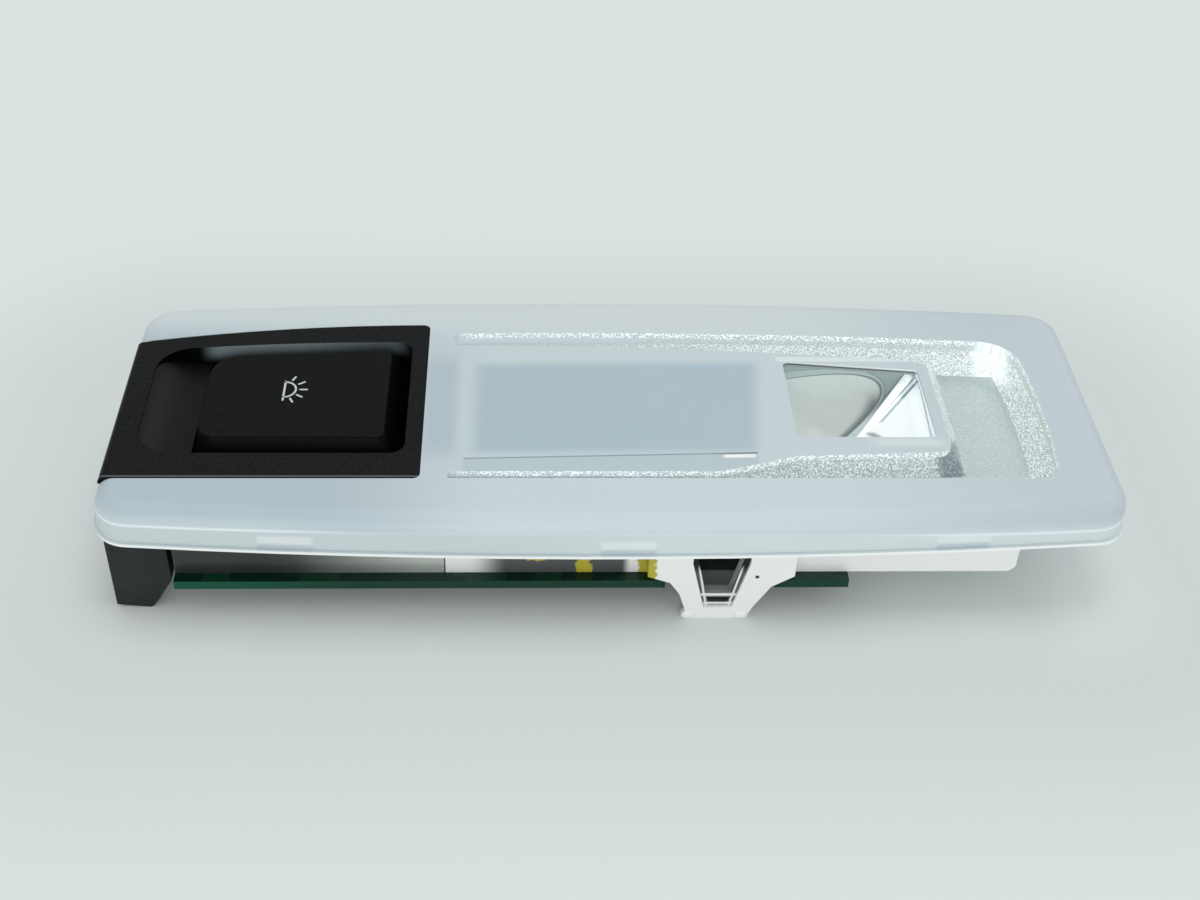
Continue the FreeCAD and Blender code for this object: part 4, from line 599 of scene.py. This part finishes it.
def coated_housing():
    silver = Finish("coated_housing")
    ragged = silver.noise(1.7, 3.0, 0.6) * 2.4 - 1.2
    x = silver.x + ragged
    lower = silver.z - silver.noise(1.2, 2.0) * 1.2
    front = 1 - silver.step(silver.y, -26.0, -25.7)
    strip = silver.band(x, -6.4, -3.9, 0.15)
    patch = silver.band(x, 3.2, 5.9, 0.15)
    flecks = silver.band(x, -14.2, -11.4, 0.3) * silver.step(lower, 8.9, 9.1)
    flecks = silver.band(x, -22.8, -20.0, 0.3) * silver.step(lower, 9.4, 9.6) + flecks
    bare = silver.node("Math", {"operation": "MINIMUM"}, {0: (strip + patch + flecks) * front, 1: 1.0})
    # Painted reflection: the front wall darkens between x -24 and 2 mm, standing in for the shade it reflects.
    dark_reflection = silver.step(silver.x, -24.0, -17.5) * (1 - silver.step(silver.x, 0.8, 2.4)) * 0.95 * front
    colour = silver.blend(dark_reflection, COATING, DARK_REFLECTION)
    # Painted shade: the inside seen through the tower window is dark.
    inside_shade = silver.band(silver.y, -28.6, -26.4, 0.1) * silver.band(silver.x, 8.0, 26.0, 0.5)
    colour = silver.blend(inside_shade, colour, silver.blend(silver.step(silver.z, 7.0, 9.0), tint(84, 88, 87), tint(22, 27, 27)))
    pin_mark = (silver.band(silver.x, PIN_MARK_X - 0.3, PIN_MARK_X + 0.3, 0.1)
                * silver.band(silver.z, PIN_MARK_Z - 0.3, PIN_MARK_Z + 0.3, 0.1) * front)
    colour = silver.blend(pin_mark, colour, tint(14, 16, 16))
    colour = silver.blend(bare, colour, BARE_PLASTIC)
    haze = silver.noise(6.0, 2.0)
    return silver.show(silver.principled(
        Base_Color=colour, Metallic=(1 - bare) * 0.15, Roughness=0.34 + bare * 0.26 + haze * 0.08,
        Normal=silver.bump(silver.noise(7.0, 1.0), 0.2, 0.5)))


def reflection_box():
    silver = Finish("reflection_silver")
    # Painted reflection: dark at the left end, silver towards the right.
    share = silver.step(silver.x + silver.noise(9.0, 2.0) * 6.0, -53.0, -22.0)
    colour = silver.blend(share, tint(60, 65, 66), tint(206, 211, 205))
    return silver.show(silver.principled(
        Base_Color=colour, Metallic=0.5, Roughness=0.26 + silver.noise(3.0) * 0.08,
        Normal=silver.bump(silver.noise(6.0, 1.0), 0.15, 0.5)))


dress("light_housing", coated_housing())
dress("left_light_box", reflection_box())
print("light_housing and left_light_box: masked metal coating")

# %% Black, steel and white moulded parts


def moulded(name, colour, pale, rough, grain_size, deep, metal=0.0):
    """A moulded or stamped part: two close colours in clouds, and a fine grain."""
    part = Finish(name)
    mixed = part.blend(part.step(part.noise(grain_size * 14, 3.0), 0.35, 0.7), colour, pale)
    return part.show(part.principled(
        Base_Color=mixed, Metallic=metal, Roughness=rough + part.noise(grain_size * 6) * 0.12,
        Normal=part.bump(part.noise(grain_size, 2.0), deep, 0.6)))


LEG_SEAM_Z = 9.4
MOULDED = {
    "area_diffuser": (tint(226, 231, 232), tint(233, 237, 238), 0.45, 0.4, 0.02, 0.0),
    "tact_switch": (tint(32, 33, 34), tint(41, 42, 43), 0.40, 0.2, 0.02, 0.0),
    "tact_plunger": (tint(206, 200, 186), tint(214, 209, 197), 0.45, 0.2, 0.02, 0.0),
    "driver_chip": (tint(30, 31, 32), tint(40, 41, 42), 0.50, 0.12, 0.03, 0.0),
    "power_transistor": (tint(33, 34, 35), tint(43, 44, 45), 0.50, 0.12, 0.03, 0.0),
    "protection_diode": (tint(34, 35, 36), tint(44, 45, 46), 0.50, 0.12, 0.03, 0.0),
    "connector_shell": (tint(38, 40, 41), tint(46, 48, 49), 0.42, 0.25, 0.03, 0.0),
    "connector_pins": (tint(200, 190, 160), tint(214, 208, 186), 0.25, 0.15, 0.01, 1.0),
    "symbol_led": (tint(224, 222, 205), tint(233, 232, 220), 0.35, 0.2, 0.01, 0.0),
}
for node, look in MOULDED.items():
    dress(node, moulded(node, *look))


def black_housing():
    """Grained black plastic; the mould's two halves met at one height, which left a thin line round the legs."""
    black = Finish("black_housing")
    cloud = black.step(black.noise(5.0, 3.0), 0.35, 0.7)
    colour = black.blend(cloud, tint(24, 29, 29), tint(32, 37, 37))
    line = black.band(black.z, LEG_SEAM_Z - 0.1, LEG_SEAM_Z + 0.1, 0.08) * (1 - black.step(black.x, -71.5, -71.0))
    colour = black.blend(line * 0.8, colour, tint(6, 8, 8))
    return black.show(black.principled(
        Base_Color=colour, Roughness=0.48 + black.noise(2.0) * 0.12, Specular_IOR_Level=0.35,
        Normal=black.bump(black.noise(0.35, 2.0) - line * 1.0, 0.04, 0.6)))


SCREW_PLACES = ((-23.0, -21.9), (-23.0, 21.9), (34.6, 21.9))
SCREW_HEAD_Z = 3.9


def screw_steel():
    """Plated screws with a cross sunk into each head."""
    steel = Finish("screw_steel")
    # Painted shade: each head's cross recess is dark, besides its bump.
    cross = 0.0
    for x, y in SCREW_PLACES:
        bar = steel.band(steel.x, x - 0.22, x + 0.22, 0.05) * steel.band(steel.y, y - 1.25, y + 1.25, 0.08)
        beam = steel.band(steel.y, y - 0.22, y + 0.22, 0.05) * steel.band(steel.x, x - 1.25, x + 1.25, 0.08)
        cross = steel.node("Math", {"operation": "MAXIMUM"}, {0: bar, 1: beam}) + cross
    cross = cross * (1 - steel.step(steel.z, SCREW_HEAD_Z + 0.1, SCREW_HEAD_Z + 0.3))
    colour = steel.blend(cross * 0.85, tint(190, 192, 189), tint(44, 45, 45))
    return steel.show(steel.principled(
        Base_Color=colour, Metallic=1 - cross * 0.6, Roughness=0.28 + steel.noise(1.0) * 0.1,
        Normal=steel.bump(1 - cross + steel.noise(0.3) * 0.1, 0.4, 0.8)))


CLIP_MIDDLE, CLIP_HALF, CLIP_LOW, CLIP_HIGH, CLIP_TAPER = 16.45, 4.55, 2.4, 14.1, 0.19


def clip_steel():
    """Polished spring steel: its rolled edges and two lines near its foot carry a painted glint, and the flat between
    them a painted reflection of the dark behind the lamp.
    """
    steel = Finish("clip_steel")
    off_middle = steel.node("Math", {"operation": "ABSOLUTE"}, {0: steel.x - CLIP_MIDDLE})
    inward = (CLIP_HALF - (CLIP_HIGH - steel.z) * CLIP_TAPER) - off_middle
    # Painted glint along the rolled edges and near the foot.
    edge = steel.band(inward, 0.28, 0.62, 0.08)
    foot = steel.band(steel.z, CLIP_LOW + 0.15, CLIP_LOW + 0.6, 0.08) + steel.band(steel.z, CLIP_LOW + 2.0, CLIP_LOW + 2.6, 0.1)
    glint = steel.node("Math", {"operation": "MINIMUM"}, {0: edge + foot, 1: 1.0})
    glint = glint * (1 - steel.step(steel.z, 9.5, 11.5))
    # Painted reflection of the dark behind the lamp on the flat.
    reflected_dark = steel.blend(steel.step(steel.z, 9.0, 11.0), tint(96, 102, 103), tint(20, 25, 25))
    scratch = steel.noise(0.5, 2.0)
    return steel.show(steel.principled(
        Base_Color=steel.blend(glint, reflected_dark, tint(244, 247, 247)), Metallic=0.5, Roughness=0.22 + scratch * 0.08,
        Normal=steel.bump(scratch, 0.02, 0.5)))


dress("spring_clip_front", clip_steel())
dress("spring_clip_rear", clip_steel())
dress("board_screws", screw_steel())
dress("switch_housing", black_housing())
print(len(MOULDED) + 4, "moulded and stamped parts")

# %% [markdown]
# ## Circuit board
#
# The board is glass fibre with copper tracks under green lacquer. A track shows as a slightly
# paler, raised green line. The cut edge shows the bare, paler laminate. Tracks are made by
# rounding the place to a grid and keeping the cells that a coarse noise picks, which gives runs
# that turn at right angles, as real ones do.

# %% Circuit board finish
BOARD_LOW, BOARD_TOP = 5.4, 7.0


def green_board():
    board = Finish("green_board")
    flat = board.step(board.node("Math", {"operation": "ABSOLUTE"}, {0: board.up()}), 0.5, 0.8)
    grid = board.node("VectorMath", {"operation": "SNAP"}, {0: board.place, 1: (2.2, 0.9, 50.0)})
    run = board.step(board.noise(9.0, 0.0, place=grid), 0.49, 0.53)
    lacquer = board.blend(run, tint(0, 38, 26), tint(8, 54, 36))
    weave = board.node("TexWave", {"bands_direction": "Z"}, {"Vector": board.place, "Scale": 1.6, "Distortion": 0.5})
    laminate = board.blend(weave, tint(6, 48, 36), tint(20, 62, 47))
    laminate = board.blend((1 - board.step(board.x, -66.0, -38.0)) * 0.8, laminate, tint(6, 84, 58))
    colour = board.blend(flat, laminate, lacquer)
    # Painted shade: the board is nearly black where it shows through the tower's window.
    shade_behind_tower = board.band(board.x, 8.0, 26.0, 1.0) * (1 - board.step(board.y, -22.0, -20.0))
    colour = board.blend(shade_behind_tower * 0.9, colour, tint(6, 12, 11))
    return board.show(board.principled(
        Base_Color=colour, Roughness=0.26 + (1 - flat) * 0.4, IOR=1.5, Specular_IOR_Level=0.25,
        Normal=board.bump(run, 0.035, 0.8)))


dress("circuit_board", green_board())
print("circuit_board: lacquered tracks")

# %% Small electrical parts


def two_ended(name, middle, ends, half, centre_x, pitch, metal):
    """A chip part with plated ends: the ends start half a body's length from each middle."""
    part = Finish(name)
    local = part.node("Math", {"operation": "PINGPONG"}, {0: part.x - centre_x, 1: pitch / 2})
    end = part.step(local, half - 0.05, half + 0.05)
    return part.show(part.principled(
        Base_Color=part.blend(end, middle, ends), Metallic=end * metal, Roughness=0.35,
        Normal=part.bump(part.noise(0.15, 2.0), 0.02, 0.5)))


def phosphor(name, centre_y):
    """A lamp chip: yellow phosphor window in a white case."""
    part = Finish(name)
    top = part.step(part.z, BOARD_TOP + 0.7, BOARD_TOP + 0.85)
    window = part.band(part.y, centre_y - 1.0, centre_y + 1.0, 0.1) * top
    colour = part.blend(window, tint(236, 236, 230), tint(238, 214, 92))
    return part.show(part.principled(Base_Color=colour, Roughness=0.35 - window * 0.15,
                                     Normal=part.bump(part.noise(0.2, 2.0), 0.01, 0.5)))


def drawn_can():
    """An electrolytic capacitor's aluminium can."""
    part = Finish("drawn_can")
    top = part.step(part.up(), 0.6, 0.9)
    colour = part.blend(top, tint(182, 185, 188), tint(206, 208, 210))
    return part.show(part.principled(Base_Color=colour, Metallic=1.0, Roughness=0.28 + part.noise(0.8) * 0.1,
                                     Normal=part.bump(part.noise(0.4, 2.0), 0.02, 0.4)))


dress("resistors", two_ended("resistors", tint(26, 27, 29), tint(198, 200, 198), 0.62, 6.5, 3.2, 1.0))
dress("area_leds", phosphor("area_leds", 1.5))
dress("spot_led", phosphor("spot_led", -2.2))
dress("capacitors", drawn_can())
print("resistors, lamps and capacitors")

# %% [markdown]
# ## Ridge of the spot reflector
#
# Where the scoop and the facet meet, the moulding ends in a rounded crest. The solids leave it
# sharp. The crest is a strip swept along a straight line. Its cross-section is a flat arch: at a
# share s from -1 to 1 across the strip, the height is the rise times one minus s squared.

# %% Spot ridge


def crest(start, end, halves, low, base, rise, steps=12, ribs=9):
    """A closed strip from start to end: across it z = base + rise (1 - s^2), and its underside is flat at low.

    Its half width goes evenly from the first to the second of halves.
    """
    start, end = np.array(start, float), np.array(end, float)
    run = (end - start) / np.linalg.norm(end - start)
    side = np.array([run[1], -run[0]])
    t = np.linspace(0, 1, steps)[:, None]
    s = np.linspace(-1, 1, ribs)[None, :]
    half = halves[0] + (halves[1] - halves[0]) * t
    x = start[0] + (end - start)[0] * t + side[0] * half * s
    y = start[1] + (end - start)[1] * t + side[1] * half * s
    z = base + rise * (1 - s ** 2) + 0 * t
    top = np.dstack([x, y, z]).reshape(-1, 3)
    under = np.dstack([x, y, 0 * z + low]).reshape(-1, 3)
    index = np.arange(steps * ribs).reshape(steps, ribs)
    count = steps * ribs
    sheet = np.stack([index[:-1, :-1], index[:-1, 1:], index[1:, 1:], index[1:, :-1]], -1).reshape(-1, 4)
    loop = np.concatenate([index[0, :-1], index[:-1, -1], index[-1, :0:-1], index[:0:-1, 0]])
    after = np.roll(loop, -1)
    wall = np.stack([loop + count, after + count, after, loop], -1)
    return np.vstack([top, under]), np.vstack([sheet, (sheet + count)[:, ::-1], wall])


# %% [markdown]
# ## Pictogram on the key
#
# The key carries a small printed lamp sign: a half-round lamp seen from the side, and five rays.
# Print stands a few hundredths of a millimetre proud, so it is made as thin strokes that lie on
# the key's top. Each stroke is a ribbon: a path, moved half a line's width to each side, with
# round ends.

# %% Pictogram
KEY_TOP = 21.8
PRINT_THICK = 0.03
LINE_HALF = 0.17


def ribbon(path, half, low, high, round_steps=8):
    """A closed prism round a path: its outline is the path offset by half on both sides, with half circles at its ends."""
    path = np.asarray(path, float)
    run = np.gradient(path, axis=0)
    run = run / np.linalg.norm(run, axis=1)[:, None]
    side = np.column_stack([-run[:, 1], run[:, 0]])
    turn = np.linspace(0, np.pi, round_steps + 2)[1:-1, None]
    end = path[-1] + half * (np.cos(turn) * side[-1] + np.sin(turn) * run[-1])
    start = path[0] + half * (-np.cos(turn) * side[0] - np.sin(turn) * run[0])
    around = np.vstack([path + half * side, end, (path - half * side)[::-1], start])[::-1]
    count = len(around)
    points = np.vstack([np.column_stack([around, np.full(count, low)]), np.column_stack([around, np.full(count, high)])])
    ring = np.arange(count)
    after = np.roll(ring, -1)
    walls = np.column_stack([ring, after, after + count, ring + count]).tolist()
    n = len(path)
    left = np.arange(n)
    return points, walls, ring, left


def arc(centre, radii, start, stop, steps=24):
    """Points on an ellipse: centre + (radius x cos, radius y sin) from start to stop degrees."""
    angle = np.radians(np.linspace(start, stop, steps))
    return np.column_stack([centre[0] + radii[0] * np.cos(angle), centre[1] + radii[1] * np.sin(angle)])


def straight(first, last, steps=6):
    """Points spaced evenly on a straight line."""
    return np.linspace(first, last, steps)


def piece(name, parts, material, body):
    """One mesh object in metres from lists of (points in mm, faces), riding on a body."""
    points = np.vstack([p for p, _ in parts]) * MM
    offsets = np.cumsum([0] + [len(p) for p, _ in parts[:-1]])
    faces = [tuple(int(i) + int(o) for i in f) for (_, fs), o in zip(parts, offsets) for f in fs]
    mesh = bpy.data.meshes.new(name)
    mesh.from_pydata(points.tolist(), [], faces)
    mesh.validate()
    mesh.materials.append(material)
    made = bpy.data.objects.new(name, mesh)
    bpy.context.scene.collection.objects.link(made)
    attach(made, body)
    return made


def stroke(path, half=LINE_HALF):
    """A ribbon as a mesh part: walls, a top and a bottom."""
    points, walls, ring, _ = ribbon(path, half, KEY_TOP - 0.01, KEY_TOP + PRINT_THICK)
    count = len(ring)
    return points, walls + [list(ring + count), list(ring[::-1])]


SIGN_LEFT, SIGN_MID = -54.85, 2.45
strokes = [
    stroke(straight((SIGN_LEFT, SIGN_MID - 2.85), (SIGN_LEFT, SIGN_MID + 2.2))),
    stroke(arc((SIGN_LEFT, SIGN_MID), (1.9, 2.02), -90, 90)),
]
for angle, near_end, far_end in ((66, 2.75, 3.75), (33, 2.7, 3.8), (0, 2.6, 3.75), (-33, 2.6, 3.65), (-64, 2.7, 3.7)):
    ray = np.array([math.cos(math.radians(angle)), math.sin(math.radians(angle))])
    foot = np.array([SIGN_LEFT, SIGN_MID])
    strokes.append(stroke(straight(foot + ray * near_end, foot + ray * far_end)))
ink = Finish("white_print")
worn = ink.noise(0.5, 2.0)
white_print = ink.show(ink.principled(
    Base_Color=ink.blend(worn, tint(186, 191, 190), tint(206, 210, 208)), Roughness=0.5,
    Normal=ink.bump(worn, 0.01, 0.5)))
sign = piece("key_pictogram", strokes, white_print, "key")
print("key_pictogram:", len(sign.data.polygons), "faces")

RIDGE_START, RIDGE_END = (40.7, -6.6), (53.4, 12.2)
# Painted highlight: the ridge is near white and glows from its emission.
glint = Finish("ridge_silver")
streak = glint.noise(3.0, 1.0)
ridge = piece("spot_ridge", [crest(RIDGE_START, RIDGE_END, (0.32, 0.85), 17.9, 18.35, 0.3)], glint.show(glint.principled(
    Base_Color=glint.blend(streak, tint(236, 240, 240), tint(252, 253, 253)), Metallic=0.0,
    Roughness=0.3 + streak * 0.06, Emission_Color=tint(240, 244, 244), Emission_Strength=0.5,
    Normal=glint.bump(streak, 0.05, 0.3))), "lamp")
print("spot_ridge:", len(ridge.data.polygons), "faces")

# %% [markdown]
# ## Solder joints
#
# Parts with legs are soldered through the board. Under it, each joint is a small cone of solder
# that flares out onto its copper ring. At a share r from the middle to the rim, its height falls
# as one minus r squared, to the power of two: steep near the leg and flat at the rim.

# %% Solder joints
JOINT_RADIUS, JOINT_RISE = 0.75, 0.75
JOINTS = ([(x, 22.2) for x in (-15.75, -13.25, -10.75, -8.25)]
          + [(x, y) for x in (-51.1, -47.1) for y in (-5.0, -1.0)]
          + [(x + side, 20.6) for x in (25.6, 17.6) for side in (-1.0, 1.0)])


def joint_cones(places, radius, rise, base, rings=7, spokes=20):
    """Closed cones that hang from z = base: z = base - rise (1 - r^2)^2 at the share r of the radius."""
    r = np.linspace(0.06, 1, rings)[:, None]
    turn = np.linspace(0, 2 * np.pi, spokes, endpoint=False)[None, :]
    one = np.dstack([radius * r * np.cos(turn), radius * r * np.sin(turn),
                     base - rise * (1 - r ** 2) ** 2 + 0 * turn]).reshape(-1, 3)
    one[-spokes:, 2] = base + 0.02
    shift = np.column_stack([np.array(places), np.zeros(len(places))])
    points = (shift[:, None, :] + one[None]).reshape(-1, 3)
    index = np.arange(rings * spokes).reshape(rings, spokes)
    after = np.roll(index, -1, axis=1)
    quads = np.stack([index[:-1], after[:-1], after[1:], index[1:]], -1).reshape(-1, 4)
    starts = np.arange(len(places))[:, None, None] * rings * spokes
    faces = (quads[None] + starts).reshape(-1, 4).tolist()
    faces += (index[0][::-1][None] + starts[:, 0]).tolist()
    faces += (index[-1][None] + starts[:, 0]).tolist()
    return points, faces


solder = Finish("solder")
dull = solder.noise(0.6, 2.0)
joints = piece("solder_joints", [joint_cones(JOINTS, JOINT_RADIUS, JOINT_RISE, BOARD_LOW)], solder.show(solder.principled(
    Base_Color=solder.blend(dull, tint(176, 179, 178), tint(206, 208, 206)), Metallic=1.0, Roughness=0.22 + dull * 0.15,
    Normal=solder.bump(dull, 0.03, 0.5))), "lamp")
print("solder_joints:", len(joints.data.polygons), "faces")

# %% [markdown]
# ## Foot pads of the clip towers
#
# Each tower ends in two small rounded feet, which the mould needs so that the coating jig can
# grip. They are short pillows: a block whose outline is a superellipse, |x|^4 + |y|^4 = 1.

# %% Foot pads
PAD_HALF_X, PAD_HALF_Y, PAD_TOP = 1.1, 0.9, 1.5
PADS = [(x, side * 29.1) for x in (11.7, 20.4) for side in (-1.0, 1.0)]


def pillow(centre, half_x, half_y, top, steps=28, levels=6):
    """A closed pillow from z = 0 to top: superellipse outlines whose size is (1 - (2z/top - 1)^4)^(1/4) of the full one."""
    turn = np.linspace(0, 2 * np.pi, steps, endpoint=False)[None, :]
    level = np.linspace(0.02, 0.98, levels)[:, None]
    size = (1 - (2 * level - 1) ** 4) ** 0.25
    corner = (np.abs(np.cos(turn)) ** 4 + np.abs(np.sin(turn)) ** 4) ** -0.25
    x = centre[0] + half_x * size * corner * np.cos(turn)
    y = centre[1] + half_y * size * corner * np.sin(turn)
    z = top * level + 0 * turn
    points = np.dstack([x, y, z]).reshape(-1, 3)
    index = np.arange(levels * steps).reshape(levels, steps)
    after = np.roll(index, -1, axis=1)
    faces = np.stack([index[:-1], after[:-1], after[1:], index[1:]], -1).reshape(-1, 4).tolist()
    return points, faces + [index[0][::-1].tolist(), index[-1].tolist()]


pads = piece("tower_pads", [pillow(place, PAD_HALF_X, PAD_HALF_Y, PAD_TOP) for place in PADS],
             solids["light_housing"].data.materials[0], "lamp")
print("tower_pads:", len(pads.data.polygons), "faces")
